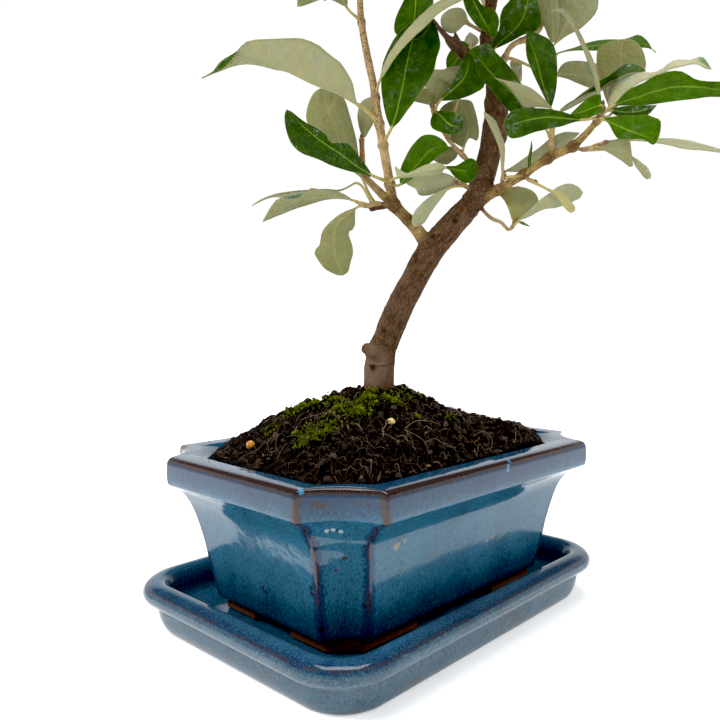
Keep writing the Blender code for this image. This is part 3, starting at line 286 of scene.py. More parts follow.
class Skin:
    """Gathers faces with a material each and named values at their points, for one piece."""

    def __init__(self):
        self.verts, self.faces, self.marks, self.values = [], [], [], {}

    def add(self, verts, faces, mark=0, **values):
        start = len(self.verts)
        self.verts.extend(verts)
        self.faces.extend(tuple(start + k for k in face) for face in faces)
        self.marks.extend([mark] * len(faces) if isinstance(mark, int) else mark)
        for name in set(self.values) | set(values):
            row = self.values.setdefault(name, [])
            row.extend([0.0] * (start - len(row)))
            given = values.get(name, 0.0)
            row.extend(given if isinstance(given, list) else [given] * len(verts))

    def build(self, name, materials, smooth=50, outward=True):
        mesh = bpy.data.meshes.new(name)
        mesh.from_pydata([tuple(v) for v in self.verts], [], self.faces)
        mesh.polygons.foreach_set("material_index", self.marks)
        for key, row in self.values.items():
            row.extend([0.0] * (len(self.verts) - len(row)))
            set_values(mesh, key, row)
        for finish in materials:
            mesh.materials.append(finish)
        if outward:
            shape = bmesh.new()
            shape.from_mesh(mesh)
            bmesh.ops.recalc_face_normals(shape, faces=shape.faces)
            shape.to_mesh(mesh)
            shape.free()
        mesh.shade_smooth()
        mesh.set_sharp_from_angle(angle=math.radians(smooth))
        return in_scene(name, mesh)


def front(across, up, toward):
    """A point of the front frame, in millimetres, as a world point."""
    return (ACROSS * across + TOWARD * toward) * MM + Vector((0, 0, up * MM))


def seen(px, py, toward):
    """The world point that shows at a place of the photograph, at a distance toward the viewer."""
    spread = SENSOR_WIDTH / CAMERA_LENS
    way = ACROSS * ((px / PICTURE_SIZE - 0.5 + CAMERA_SHIFT_X) * spread)
    way += CAMERA_BACK.cross(ACROSS) * ((0.5 - py / PICTURE_SIZE) * spread) - CAMERA_BACK
    return CAMERA_PLACE + way * ((toward * MM - CAMERA_PLACE.dot(TOWARD)) / way.dot(TOWARD))


def places_of(text):
    """Places of the photograph, from pairs of pixel coordinates."""
    return [tuple(map(float, pair.split(","))) for pair in text.split()]


def waves_at(point, waves):
    return sum(size * noise.noise(point * fineness) for size, fineness in waves)


def blend(low, high, share):
    return low + (high - low) * share


def ease(low, high, value):
    """A smooth step from 0 at low to 1 at high."""
    share = min(max((value - low) / (high - low), 0.0), 1.0)
    return share * share * (3 - 2 * share)


def heading(path, k):
    """The direction of a path at one of its points, by the points on both sides."""
    return (path[min(k + 1, len(path) - 1)] - path[max(k - 1, 0)]).normalized()


def tree_of(points):
    tree = KDTree(len(points))
    for number, point in enumerate(points):
        tree.insert(point, number)
    tree.balance()
    return tree


def ball(subdivisions, radius=1.0, centre=(0, 0, 0)):
    """The points and faces of a ball."""
    shape = bmesh.new()
    bmesh.ops.create_icosphere(shape, subdivisions=subdivisions, radius=radius,
                               matrix=Matrix.Translation(centre))
    verts = [v.co.copy() for v in shape.verts]
    faces = [tuple(v.index for v in face.verts) for face in shape.faces]
    shape.free()
    return verts, faces


def smooth_path(points, per_span):
    """The CAD's curve through points, by Bezier spans with tangents from the neighbours."""
    path = []
    last = len(points) - 1
    for k in range(last):
        before, after = points[max(k - 1, 0)], points[min(k + 2, last)]
        lead = points[k] + (points[k + 1] - before) / 6
        trail = points[k + 1] - (after - points[k]) / 6
        path.extend(interpolate_bezier(points[k], lead, trail, points[k + 1], per_span + 1)[:-1])
    path.append(points[last])
    return path


def profile_curve(rows, step):
    """A curve through a profile's rows, with handles as long as a third of each span."""
    points = [Vector(row) for row in rows]
    last = len(points) - 1
    ways = [heading(points, k) for k in range(last + 1)]
    curve = []
    for k in range(last):
        start, end = points[k], points[k + 1]
        reach = (end - start).length / 3
        count = max(2, round(reach * 3 / step))
        lead, trail = start + ways[k] * reach, end - ways[k + 1] * reach
        curve.extend(interpolate_bezier(start, lead, trail, end, count + 1)[:-1])
    curve.append(points[last])
    return curve


def ring_faces(count, rings, cap_low=False, cap_high=False):
    faces = []
    for low in range(rings - 1):
        for k in range(count):
            nxt = (k + 1) % count
            faces.append((low * count + k, low * count + nxt, (low + 1) * count + nxt, (low + 1) * count + k))
    if cap_low:
        faces.append(tuple(reversed(range(count))))
    if cap_high:
        faces.append(tuple(range((rings - 1) * count, rings * count)))
    return faces


def tube_rings(points, radii, sides):
    """Rings of points round a path."""
    side = heading(points, 0).orthogonal().normalized()
    rings = []
    for k, point in enumerate(points):
        ahead = heading(points, k)
        side = (side - ahead * side.dot(ahead)).normalized()
        up = ahead.cross(side)
        for j in range(sides):
            angle = 2 * math.pi * j / sides
            rings.append(point + radii[k] * (side * math.cos(angle) + up * math.sin(angle)))
    return rings


def add_tube(skin, points, radii, sides, mark=0, **values):
    given = {name: [v for v in row for _ in range(sides)] if isinstance(row, list) else row
             for name, row in values.items()}
    skin.add(tube_rings(points, radii, sides), ring_faces(sides, len(points), True, True), mark, **given)


def along(path):
    runs = [0.0]
    for a, b in zip(path, path[1:]):
        runs.append(runs[-1] + (b - a).length)
    return runs


def point_on(path, runs, run):
    """The point and the direction at a running length."""
    run = min(max(run, 0.0), runs[-1])
    for k in range(len(path) - 1):
        if run <= runs[k + 1] or k == len(path) - 2:
            share = (run - runs[k]) / (runs[k + 1] - runs[k])
            return path[k].lerp(path[k + 1], share), (path[k + 1] - path[k]).normalized()


def finish_piece(piece, slot, *nodes):
    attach(piece, "root")
    if nodes:
        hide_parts(*nodes)
    return piece


# ---------------------------------------------------------------- materials
class Field:
    """The output of one of a material's nodes, with the usual arithmetic."""

    def __init__(self, paint, socket):
        self.paint, self.socket = paint, socket

    def __add__(self, other):
        return self.paint.math("ADD", self, other)

    def __sub__(self, other):
        return self.paint.math("SUBTRACT", self, other)

    def __mul__(self, other):
        return self.paint.math("MULTIPLY", self, other)


class Paint:
    """A material's node tree, made by calls that each return a Field; colour is its base colour."""

    def __init__(self, name, roughness=0.5, **sockets):
        self.material = bpy.data.materials.new(name)
        self.material.use_nodes = True
        self.tree = self.material.node_tree
        self.shader = self.tree.nodes["Principled BSDF"]
        self.colour = None
        self.set("Roughness", roughness)
        for key, value in sockets.items():
            self.set(key.replace("_", " "), value)
        place = self.tree.nodes.new("ShaderNodeTexCoord")
        # the place on the object in millimetres
        self.mm = self.node("VectorMath", 0, Field(self, place.outputs["Object"]), operation="SCALE",
                            Scale=1 / MM)
        parts = self.tree.nodes.new("ShaderNodeSeparateXYZ")
        self.put(parts.inputs[0], self.mm)
        self.z = Field(self, parts.outputs[2])

    def put(self, socket, value):
        if isinstance(value, Field):
            self.tree.links.new(value.socket, socket)
        elif isinstance(value, tuple) and len(value) == 3 and socket.type == "RGBA":
            socket.default_value = (*value, 1)
        else:
            socket.default_value = value

    def node(self, kind, output, *values, **named):
        """A new node's output: values go to its first inputs, names to its settings or inputs."""
        node = self.tree.nodes.new("ShaderNode" + kind)
        for name, value in named.items():
            if name in node.inputs:
                self.put(node.inputs[name], value)
            else:
                setattr(node, name, value)
        for k, value in enumerate(values):
            self.put(node.inputs[k], value)
        return Field(self, node.outputs[output])

    def set(self, name, value):
        self.put(self.shader.inputs[name], value)

    def stretch(self, x, y, z, vector=None):
        return self.node("VectorMath", 0, vector or self.mm, (x, y, z), operation="MULTIPLY")

    def noise(self, scale, detail=3.0, rough=0.55, vector=None):
        return self.node("TexNoise", 0, Vector=vector or self.mm, Scale=scale, Detail=detail, Roughness=rough)

    def cells(self, scale, vector=None, colour=False):
        return self.node("TexVoronoi", "Color" if colour else "Distance", Vector=vector or self.mm,
                         Scale=scale)

    def math(self, kind, a, b=0.0, clamp=False):
        return self.node("Math", 0, a, b, operation=kind, use_clamp=clamp)

    def step(self, value, low, high, a=0.0, b=1.0):
        """Smoothly from a at low to b at high."""
        if low > high:
            low, high, a, b = high, low, b, a
        return self.node("MapRange", 0, value, low, high, a, b, interpolation_type="SMOOTHSTEP")

    def mix(self, share, a, b):
        node = self.tree.nodes.new("ShaderNodeMix")
        node.data_type = "RGBA"
        for k, value in ((0, share), (6, a), (7, b)):
            self.put(node.inputs[k], value)
        return Field(self, node.outputs[2])

    def coat(self, share, colour):
        """Lays a colour over the base colour."""
        self.colour = self.mix(share, self.colour, colour)

    def vector(self, name):
        return self.node("Attribute", "Vector", attribute_name=name)

    def value(self, name):
        return self.node("Attribute", "Fac", attribute_name=name)

    def spot(self, centre, radius, ragged):
        """1 inside a round patch about a place in millimetres, with a ragged edge, else 0."""
        away = self.node("VectorMath", "Value", self.mm, centre, operation="DISTANCE")
        return self.step(away + ragged, radius * 1.25, radius * 0.8)

    def bump(self, height, distance, strength=1.0, **normal):
        return self.node("Bump", 0, Strength=strength, Distance=distance * MM, Height=height, **normal)

    def done(self):
        self.set("Base Color", self.colour)
        return self.material


def glaze_paint(name, marks=None):
    """Granular blue reduction glaze: navy specks, dark streaks, brown where it runs thin; with a painted
    floor reflection on the walls, painted highlights, and painted shade on the pot's low walls, underside and
    feet.
    """
    p = Paint(name, roughness=0.07, IOR=1.5)
    grain = p.noise(1.55, 3, 0.7, p.stretch(1, 1, 0.6))
    other = p.noise(1.8, 2, 0.7, p.stretch(1.03, 0.97, 0.45))
    clouds = p.noise(0.07, 4, 0.6, p.stretch(1, 1, 0.6))
    ragged = p.noise(0.55, 4, 0.65) - 0.5
    navy, brown, black = (0.004, 0.017, 0.06), (0.04, 0.019, 0.012), (0.013, 0.008, 0.008)
    if marks is not None:
        low, high, pale = (0.007, 0.046, 0.09), (0.014, 0.078, 0.14), (0.048, 0.15, 0.21)
        edge, inset = p.value("edge"), p.value("inset")
        height = p.z + ragged * 3.0
        wall = p.step(p.z, 57.5, 55.5)
        # painted reflection of the white floor: a pale zone on the walls from about 30 mm up to the rim band
        painted_reflection_zone = p.step(p.z + clouds * 14.0, 25, 35) * wall
        density = p.step(height, 56.5, 65.5, 0.1, 1.45) * p.step(p.z, 57.0, 59.0)
        density = density * p.step(inset, 3.2, 2.2, 0.25, 1.0)
        near = p.step(edge + ragged * 2.4, 3.6, 0.4)
        near = near * p.step(p.z, 66.0, 64.5)
        # painted shade low on the walls toward the saucer: more navy specks below 28 mm
        painted_low_shade = p.step(height, 28.0, 14.0, 0.0, 0.45)
        density = p.math("MAXIMUM", density, near * 1.15) + painted_low_shade
    else:
        low, high, pale = (0.014, 0.048, 0.077), (0.028, 0.078, 0.112), (0.082, 0.146, 0.184)
        row = p.value("row") + ragged * 0.5
        inner = p.step(row, 7.6, 9.0)
        low, high = (p.mix(inner, low, (0.008, 0.05, 0.1)), p.mix(inner, high, (0.018, 0.088, 0.158)))
        crest = p.step(row, 6.9, 7.7) * p.step(row, 9.4, 8.0)
        density = crest * 0.6 + p.step(clouds, 0.5, 0.68, 0.05, 0.3)
        # painted reflection of the white floor: the lower wall and the roll's underside are paler
        painted_reflection_zone = p.step(row, 6.6, 4.0, 0.0, 0.7)
    p.colour = p.mix(p.step(clouds, 0.36, 0.62), low, high)
    # lays the painted reflection over the base colour
    p.coat(painted_reflection_zone * 0.3, pale)
    p.coat(p.step(other, 0.5, 0.64) * 0.55, pale)
    specks = p.step(grain + density * 0.22, 0.5, 0.7) * 0.8
    p.coat(specks, navy)
    if marks is not None:
        p.coat(p.step(p.z, 56.5, 58.5, 0.0, 0.42), (0.002, 0.026, 0.06))
        # the iron-brown line along the rim's outer top edge, jagged below, and the corners' brown
        teeth = (p.noise(0.9, 3, 0.6, p.stretch(1, 1, 0.3)) - 0.5) * 2.4
        line = p.step(p.z + teeth, 63.7, 64.5) * p.step(p.z, 66.25, 65.9)
        line = line * p.step(inset, 2.9, 2.2)
        line = line * p.step(p.noise(0.075, 2, 0.5), 0.33, 0.38)
        core = p.step(edge + ragged * 2.6, 1.7, 0.5) * p.step(p.noise(0.16, 3, 0.6, p.stretch(1, 1, 0.4)),
                                                              0.38, 0.5)
        core = core * p.step(other, 0.34, 0.46)
        core = core * p.step(p.z, 66.0, 64.5)
        tone = p.mix(p.step(other, 0.4, 0.62), black, brown)
        p.coat(core * 0.85, p.mix(p.step(grain, 0.44, 0.58), (0.016, 0.01, 0.016), (0.066, 0.036, 0.034)))
        p.coat(line * 0.95, tone)
        # painted shade under the pot: near black on the underside and the foot of the wall
        base = p.step(p.z + ragged * 2.4, 15.8, 12.8)
        p.coat(base * 0.85, (0.01, 0.018, 0.024))
        for centre, radius, shade in marks:
            there = p.spot(centre, radius, ragged * (radius * 1.1))
            p.coat(there * 0.88, shade)
        # the feet's bare clay, its colour darkened as painted shade under the pot
        clay = p.step(p.z + ragged * 0.6, 12.75, 12.2)
        p.coat(clay, p.mix(p.noise(0.5, 4, 0.6), (0.055, 0.022, 0.014), (0.16, 0.062, 0.034)))
        p.set("Roughness", p.step(clay, 0, 1, 0.07, 0.85))
    else:
        thin = p.step(row, 7.45, 7.65) * p.step(row, 8.05, 7.85)
        thin = thin * p.step(p.noise(0.1, 3, 0.6), 0.4, 0.5)
        p.coat(thin * p.step(grain, 0.36, 0.5, 0.25, 0.75), (0.036, 0.026, 0.036))
        # painted highlight: a pale line along the crease under the roll
        crease_highlight = p.step(row, 3.3, 3.9) * p.step(row, 4.8, 4.1)
        p.coat(crease_highlight * 0.45, (0.24, 0.31, 0.36))
        smudge = p.step(p.noise(0.055, 4, 0.65, p.stretch(1, 1, 2.2)), 0.57, 0.68) * p.step(row, 4.2, 3.2)
        p.coat(smudge * 0.55, (0.06, 0.052, 0.066))
        p.coat(p.step(p.z, 1.0, 0.3) * 0.7, (0.03, 0.03, 0.038))
    dimple = p.noise(0.22, 2, 0.5)
    pits = p.step(p.cells(0.42), 0.1, 0.02)
    height = dimple * 0.6 - pits * 0.02
    first = p.bump(height, 0.22, 0.55)
    p.set("Normal", p.bump(grain, 0.01, 0.35, Normal=first))
    return p.done()


# Marks of the pot's glaze: places in the photograph's pixels, radius in millimetres, colour
RUST, SLATE, AZURE, BUFF = (0.045, 0.020, 0.012), (0.020, 0.014, 0.016), (0.035, 0.170, 0.300), (0.16, 0.15,
                                                                                                 0.11)
POT_MARKS = [
    ("312,503.5 318,505 323,506", 1.0, SLATE), ("297,495 298,502", 1.6, SLATE),
    ("295,509 295.5,517 297,524", 1.3, RUST), ("385,499 384,506", 1.7, SLATE), ("384,514 387,521", 1.2, RUST),
    # The pale marks of radius 0.75 are glaze bubbles, painted pale as their highlight.
    ("353,501.5 361,503.5 368,505", 0.55, SLATE), ("327,531 333,530 341,531.5", 0.75, (0.28, 0.33, 0.33)),
    ("330,531.5 337,530.5", 0.4, SLATE), ("344.5,558", 0.8, RUST), ("336,570.5", 0.6, RUST),
    ("512,467.7", 0.7, RUST), ("450,499", 0.7, RUST), ("247,490", 0.8, SLATE),
    ("509,461 508.5,466 508,470", 0.8, AZURE), ("300,489 301,492", 0.8, AZURE), ("396.5,547", 1.3, BUFF),
    ("401,564 400,570 399.3,576 398.5,581", 0.35, SLATE), ("263,588 266,592", 0.8, SLATE),
    ("405,541 398,545", 0.9, BUFF), ("493,537 487,541", 0.8, BUFF), ("311,588 312,594", 0.9, SLATE),
    ("365,606", 0.9, SLATE), ("321,630", 1.1, SLATE),
]


def marks_on(piece):
    """The pot's marks as (centre in millimetres, radius, colour), where the sight lines meet it."""
    tree = BVHTree.FromPolygons([v.co for v in piece.data.vertices],
                                [tuple(f.vertices) for f in piece.data.polygons])
    found = []
    for text, radius, shade in POT_MARKS:
        for px, py in places_of(text):
            near, far = seen(px, py, 140), seen(px, py, -140)
            hit = tree.ray_cast(near, far - near)[0]
            if hit is not None:
                found.append((tuple(hit / MM), radius, shade))
    return found


def soil_paint():
    p = Paint("potting_soil", roughness=0.95)
    lumps = p.noise(0.45, 6, 0.75)
    fine = p.noise(1.6, 4, 0.75)
    p.colour = p.mix(p.step(lumps, 0.38, 0.64), (0.0014, 0.0012, 0.0012), (0.013, 0.0098, 0.0082))
    p.coat(p.step(fine, 0.54, 0.68) * 0.8, (0.036, 0.021, 0.0125))
    p.coat(p.step(fine, 0.46, 0.36) * 0.9, (0.0006, 0.0004, 0.0004))
    bits = p.cells(0.75, colour=True)
    p.coat(p.step(bits, 0.9, 0.96) * 0.5, (0.07, 0.038, 0.018))
    p.set("Specular IOR Level", 0.15)
    p.set("Normal", p.bump(lumps + fine * 0.5, 1.4, 1.0))
    return p.done()


def litter_paint(name, dark, light, roughness=0.75):
    """Fibres, crumbs and chips: each takes its tone from a value of its own."""
    p = Paint(name, roughness=roughness)
    tone = p.value("tone")
    grain = p.noise(1.8, 3, 0.6)
    p.colour = p.mix(p.math("ADD", tone * 0.75, grain * 0.3, True), dark, light)
    p.set("Specular IOR Level", 0.3)
    p.set("Normal", p.bump(grain, 0.15, 0.6))
    return p.done()


def bark_paint():
    p = Paint("bark", roughness=0.82)
    grain = p.vector("grain")
    plates = p.noise(0.75, 5, 0.7, p.stretch(1, 1, 0.4, grain))
    fine = p.noise(1.6, 5, 0.75, p.stretch(1, 1, 0.42, grain))
    split = p.math("ABSOLUTE", p.noise(0.85, 4, 0.6, p.stretch(1, 1, 0.2, grain)) - 0.5)
    wide = p.noise(0.13, 3, 0.6)
    p.colour = p.mix(p.step(plates, 0.36, 0.64), (0.052, 0.025, 0.011), (0.118, 0.066, 0.034))
    p.coat(p.step(wide, 0.42, 0.62) * 0.45, (0.165, 0.103, 0.062))
    p.coat(p.step(fine, 0.54, 0.66) * 0.6, (0.235, 0.155, 0.1))
    p.coat(p.step(fine, 0.45, 0.34) * 0.9, (0.013, 0.006, 0.003))
    cracks = p.step(split, 0.022, 0.006) * p.step(wide, 0.38, 0.55)
    p.coat(cracks * 0.8, (0.013, 0.0065, 0.004))
    pores = p.cells(0.62, p.stretch(1, 1, 1.5, grain))
    p.coat(p.step(pores, 0.15, 0.08) * 0.55, (0.26, 0.17, 0.105))
    bare = p.spot(tuple(front(-6, 97, 6) / MM), 7.5, (plates - 0.5) * 10.0)
    p.coat(bare * 0.5, (0.2, 0.138, 0.098))
    p.coat(p.value("scar") * 0.85, (0.026, 0.013, 0.009))
    skin = p.mix(p.noise(0.3, 3, 0.6), (0.215, 0.145, 0.042), (0.4, 0.29, 0.115))
    skin = p.mix(p.step(p.noise(0.8, 4, 0.7, p.stretch(1, 1, 0.35, grain)), 0.52, 0.6) * 0.65, skin,
                 (0.105, 0.058, 0.016))
    skin = p.mix(p.step(p.cells(1.3), 0.36, 0.24) * 0.65, skin, (0.085, 0.036, 0.015))
    p.coat(p.value("young"), skin)
    p.coat(p.value("knob"), p.mix(p.step(fine, 0.42, 0.6), (0.045, 0.019, 0.012), (0.135, 0.062, 0.032)))
    p.set("Specular IOR Level", 0.12)
    first = p.bump(plates, 0.9, 0.9)
    p.set("Normal", p.bump(fine - p.step(pores, 0.16, 0.08), 0.45, 0.9, Normal=first))
    return p.done()


def stem_paint():
    """Young shoot: tan to olive skin under brown scales, and brown buds."""
    p = Paint("young_shoot", roughness=0.62)
    scales = p.cells(1.65)
    loose = p.noise(0.35, 3, 0.6)
    p.colour = p.mix(p.step(loose, 0.35, 0.65), (0.245, 0.165, 0.055), (0.37, 0.265, 0.115))
    p.coat(p.value("warm"), p.mix(loose, (0.22, 0.095, 0.018), (0.34, 0.17, 0.045)))
    p.coat(p.value("wood"), (0.12, 0.068, 0.026))
    cover = p.math("MULTIPLY", p.step(scales, 0.5, 0.36), p.value("scaly"), True)
    p.coat(cover, (0.075, 0.026, 0.01))
    ground = p.mix(p.step(p.noise(2.2, 2, 0.5), 0.4, 0.6), (0.075, 0.026, 0.01), (0.22, 0.115, 0.045))
    p.coat(p.value("bud"), ground)
    p.coat(p.value("stalk"), p.mix(loose, (0.245, 0.195, 0.04), (0.33, 0.275, 0.095)))
    p.set("Normal", p.bump(p.step(scales, 0.42, 0.2), 0.12, 0.5))
    return p.done()


def vein_lines(p, count, slant, width):
    """Side veins that leave the midrib and curve toward the tip, as 0 to 1."""
    reach = p.math("ABSOLUTE", p.value("lv"))
    warp = (p.noise(0.22, 2, 0.5) - 0.5) * 0.55
    bend = p.math("POWER", reach, 1.35)
    run = p.value("lu") * count - bend * slant
    run = run + warp
    wave = p.math("ABSOLUTE", p.math("FRACT", run) - 0.5)
    return p.step(wave, width, width * 0.25)


LEAF_DARK, LEAF_FRESH = (0.0150, 0.040, 0.0010), (0.060, 0.140, 0.0030)


def leaf_top_paint():
    p = Paint("leaf_upper", roughness=0.3)
    tone = p.value("tone")
    veins = vein_lines(p, 8.5, 2.6, 0.09)
    mottle = p.noise(0.3, 4, 0.6)
    share = p.math("ADD", tone * 0.9, (mottle - 0.5) * 1.3, True)
    p.colour = p.mix(share, LEAF_DARK, LEAF_FRESH)
    p.coat(veins * 0.14, (0.06, 0.15, 0.012))
    line = p.step(p.value("rib"), 0.42, 0.14) * p.step(p.value("lu"), 1.0, 0.6, 0.1, 1.0)
    p.coat(line * 0.62, (0.15, 0.24, 0.022))
    rim = p.step(p.math("ABSOLUTE", p.value("lv")), 0.955, 0.99)
    p.coat(rim * 0.5, (0.14, 0.19, 0.04))
    p.set("Roughness", p.step(p.noise(0.16, 3, 0.6), 0.42, 0.6, 0.38, 0.16))
    p.set("Specular IOR Level", 0.1)
    ripple = p.noise(0.55, 3, 0.6)
    height = p.noise(1.6, 3, 0.65) * 0.7 - veins * 0.5
    first = p.bump(ripple, 0.7, 0.8)
    p.set("Normal", p.bump(height, 0.22, 0.9, Normal=first))
    film = p.noise(0.13, 3, 0.6) + (p.value("wet") - 0.5) * 0.35
    p.set("Coat Weight", p.step(film, 0.52, 0.6) * p.step(p.noise(0.8, 3, 0.65), 0.46, 0.56))
    p.set("Coat Roughness", 0.06)
    p.set("Coat IOR", 1.5)
    p.set("Coat Normal", p.bump(p.noise(0.35, 2, 0.5), 0.9, 0.9))
    return p.done()


def leaf_under_paint():
    p = Paint("leaf_underside", roughness=0.6)
    tone = p.value("tone")
    veins = vein_lines(p, 8.5, 2.6, 0.1)
    scales = p.noise(1.7, 3, 0.6)
    patch = p.noise(0.22, 3, 0.5)
    hue = p.noise(0.15, 3, 0.6, p.stretch(1.1, 0.9, 1))
    share = p.math("ADD", tone * 0.75, (patch - 0.3) * 0.6, True)
    p.colour = p.mix(share, (0.115, 0.12, 0.04), (0.262, 0.262, 0.14))
    p.coat(p.value("tint"), p.mix(tone, (0.105, 0.108, 0.014), (0.29, 0.265, 0.08)))
    p.coat(p.math("MULTIPLY", p.value("tint"), -1.0, True),
           p.mix(tone, (0.11, 0.14, 0.085), (0.265, 0.31, 0.215)))
    p.coat(p.step(hue, 0.5, 0.66, 0.0, 0.45), p.mix(tone, (0.12, 0.112, 0.022), (0.31, 0.27, 0.1)))
    p.coat(p.step(hue, 0.48, 0.34, 0.0, 0.4), p.mix(tone, (0.095, 0.115, 0.05), (0.235, 0.27, 0.175)))
    p.coat(p.step(scales, 0.48, 0.7, 0.0, 0.16), (0.36, 0.37, 0.25))
    p.coat(p.step(scales, 0.44, 0.28, 0.0, 0.2), (0.1, 0.11, 0.032))
    p.coat(veins * 0.06, (0.3, 0.3, 0.15))
    dots = p.step(p.cells(0.55), 0.075, 0.05)
    p.coat(dots * 0.5, (0.1, 0.06, 0.025))
    rib = p.step(p.value("rib"), 0.6, 0.25)
    p.coat(rib * 0.3, (0.26, 0.22, 0.08))
    edge = p.step(p.math("ABSOLUTE", p.value("lv")), 0.86, 0.98)
    p.coat(edge * 0.45, (0.15, 0.15, 0.035))
    p.coat(p.value("green"), p.mix(patch, (0.01, 0.055, 0.002), (0.03, 0.115, 0.008)))
    p.set("Sheen Weight", 0.15)
    p.set("Sheen Roughness", 0.5)
    p.set("Specular IOR Level", 0.25)
    first = p.bump(p.noise(0.3, 3, 0.5), 1.0, 0.7)
    p.set("Normal", p.bump(scales + veins * 0.8, 0.07, 0.7, Normal=first))
    return p.done()


def moss_paint():
    p = Paint("moss", roughness=0.8)
    p.colour = p.mix(p.value("tone"), (0.01, 0.016, 0.0015), (0.27, 0.32, 0.02))
    p.set("Specular IOR Level", 0.25)
    return p.done()


def prill_paint(name, dark, light):
    p = Paint(name, roughness=0.3)
    p.colour = p.mix(p.step(p.noise(0.9, 4, 0.7), 0.38, 0.62), dark, light)
    p.set("Base Color", p.mix(p.step(p.cells(1.4), 0.25, 0.12) * 0.6, p.colour, (0.1, 0.05, 0.015)))
    p.set("Subsurface Weight", 0.1)
    p.set("Subsurface Radius", (0.002, 0.001, 0.0005))
    return p.done()


# ---------------------------------------------------------------- saucer and pot
def saucer_ring(offset, height):
    """The saucer's outline at one height, turned and shifted as it lies under the pot."""
    low = max(0.0, 1 - height / SAUCER_ROLL) if offset > 0 else 0.0
    length = SAUCER_INNER_LENGTH + 2 * offset
    width = SAUCER_INNER_WIDTH + 2 * (offset + SAUCER_FOOT_SPREAD * low)
    corner = SAUCER_INNER_CORNER + offset + SAUCER_FOOT_ROUND * low
    turn = Matrix.Rotation(SAUCER_TURN, 2)
    flat = []

    def arc_point(quarter, share):
        side_x, side_y = CORNERS[quarter]
        centre = Vector((side_x * (length / 2 - corner), side_y * (width / 2 - corner)))
        angle = math.pi / 2 * (quarter + share)
        return centre + corner * Vector((math.cos(angle), math.sin(angle)))

    for quarter in range(4):
        flat.extend([arc_point(quarter, k / ARC_STEPS) for k in range(ARC_STEPS + 1)])
        start, goal = flat[-1], arc_point((quarter + 1) % 4, 0)
        flat.extend([start.lerp(goal, k / STRAIGHT_STEPS) for k in range(1, STRAIGHT_STEPS)])
    ring = []
    for spot in flat:
        place = turn @ spot + SAUCER_SHIFT
        ring.append(Vector((place.x, place.y, height)) * MM)
    return ring


def make_saucer(paint):
    curve = profile_curve([(a, b, 0.0) for a, b in SAUCER_PROFILE], 0.55)
    rings = [saucer_ring(point.x, point.y) for point in curve]
    centre = SAUCER_SHIFT.to_3d() * MM

    def drawn_in(ring, share):
        return [centre.lerp(Vector((v.x, v.y, 0)), share) + Vector((0, 0, v.z)) for v in ring]

    rings = [drawn_in(rings[0], 0.97), *rings, *(drawn_in(rings[-1], share) for share in (0.9, 0.6, 0.3))]
    marks = [0.0, *profile_marks(SAUCER_PROFILE, curve), 15.0, 15.0, 15.0]
    verts, row_values = [], []
    for ring, mark in zip(rings, marks):
        for point in ring:
            wave = waves_at(point, SAUCER_WAVES)
            verts.append(point + Vector((0, 0, wave * MM * ease(3, 9, point.z / MM))))
            row_values.append(mark)
    skin = Skin()
    skin.add(verts, ring_faces(len(rings[0]), len(rings), True, True), 0, row=row_values)
    return finish_piece(skin.build("saucer_glazed", [paint], 60), "blue_glaze", "saucer")


def profile_marks(rows, curve):
    """For each point of the curve, its place counted in the profile's rows."""
    marks, last = [], 0
    for point in curve:
        best, where = 1e9, 0.0
        for k in range(max(0, last - 1), min(len(rows) - 1, last + 2)):
            a, b = Vector(rows[k]), Vector(rows[k + 1])
            share = min(max((point.xy - a).dot(b - a) / (b - a).length_squared, 0.0), 1.0)
            away = (a.lerp(b, share) - point.xy).length
            if away < best - 1e-6:
                best, where = away, k + share
        marks.append(where)
        last = int(where)
    return marks


def level_value(table, inset, column):
    reach = min(max(inset, table[0][0]), table[-1][0])
    for low, high in zip(table, table[1:]):
        if reach <= high[0]:
            return blend(low[column], high[column], (reach - low[0]) / (high[0] - low[0]))
    return table[-1][column]


def pot_ring(half_x, half_y, height, leg_x, leg_y, hollow, inside=False):
    """One fine level of the pot, with each point's distance from the nearest corner edge."""
    corners = []
    for side_x, side_y in CORNERS:
        on_y_face = Vector((side_x * (half_x - leg_x), side_y * half_y))
        on_x_face = Vector((side_x * half_x, side_y * (half_y - leg_y)))
        inward = Vector((-side_x * leg_y, -side_y * leg_x)).normalized()
        panel = on_x_face - on_y_face
        edge = min(PANEL_EDGE_ROUND / panel.length, 0.18)
        shares = [blend(edge, 1 - edge, k / 12) for k in range(13)]
        inner = [on_y_face + panel * s + inward * hollow * (1 - (2 * s - 1) ** 2) for s in shares]
        before = on_y_face + Vector((-side_x, 0)) * PANEL_EDGE_ROUND
        after = on_x_face + Vector((0, -side_y)) * PANEL_EDGE_ROUND
        lead = interpolate_bezier(before, on_y_face, on_y_face, inner[0], 8)
        trail = interpolate_bezier(inner[-1], on_x_face, on_x_face, after, 8)
        points = [Vector(v[:2]) for v in lead[:-1]] + inner + [Vector(v[:2]) for v in trail[1:]]
        if side_x * side_y > 0:
            points.reverse()
        corners.append((points, (on_y_face, on_x_face)))
    ring, edges = [], []
    for k, (points, marks) in enumerate(corners):
        following, other = corners[(k + 1) % 4]
        run = points + [points[-1].lerp(following[0], j / SIDE_STEPS) for j in range(1, SIDE_STEPS)]
        for point in run:
            ring.append(Vector((point.x, point.y, height)) * MM)
            edges.append(0.0 if inside else min((point - mark).length for mark in marks + other))
    return ring, edges


def outside_ring(inset_x, inset_y, height):
    return pot_ring(POT_LENGTH / 2 - inset_x, POT_WIDTH / 2 - inset_y, height,
                    level_value(PANEL_LEGS, inset_x, 1),
                    level_value(PANEL_LEGS, inset_x, 2), level_value(PANEL_HOLLOW, inset_x, 1))


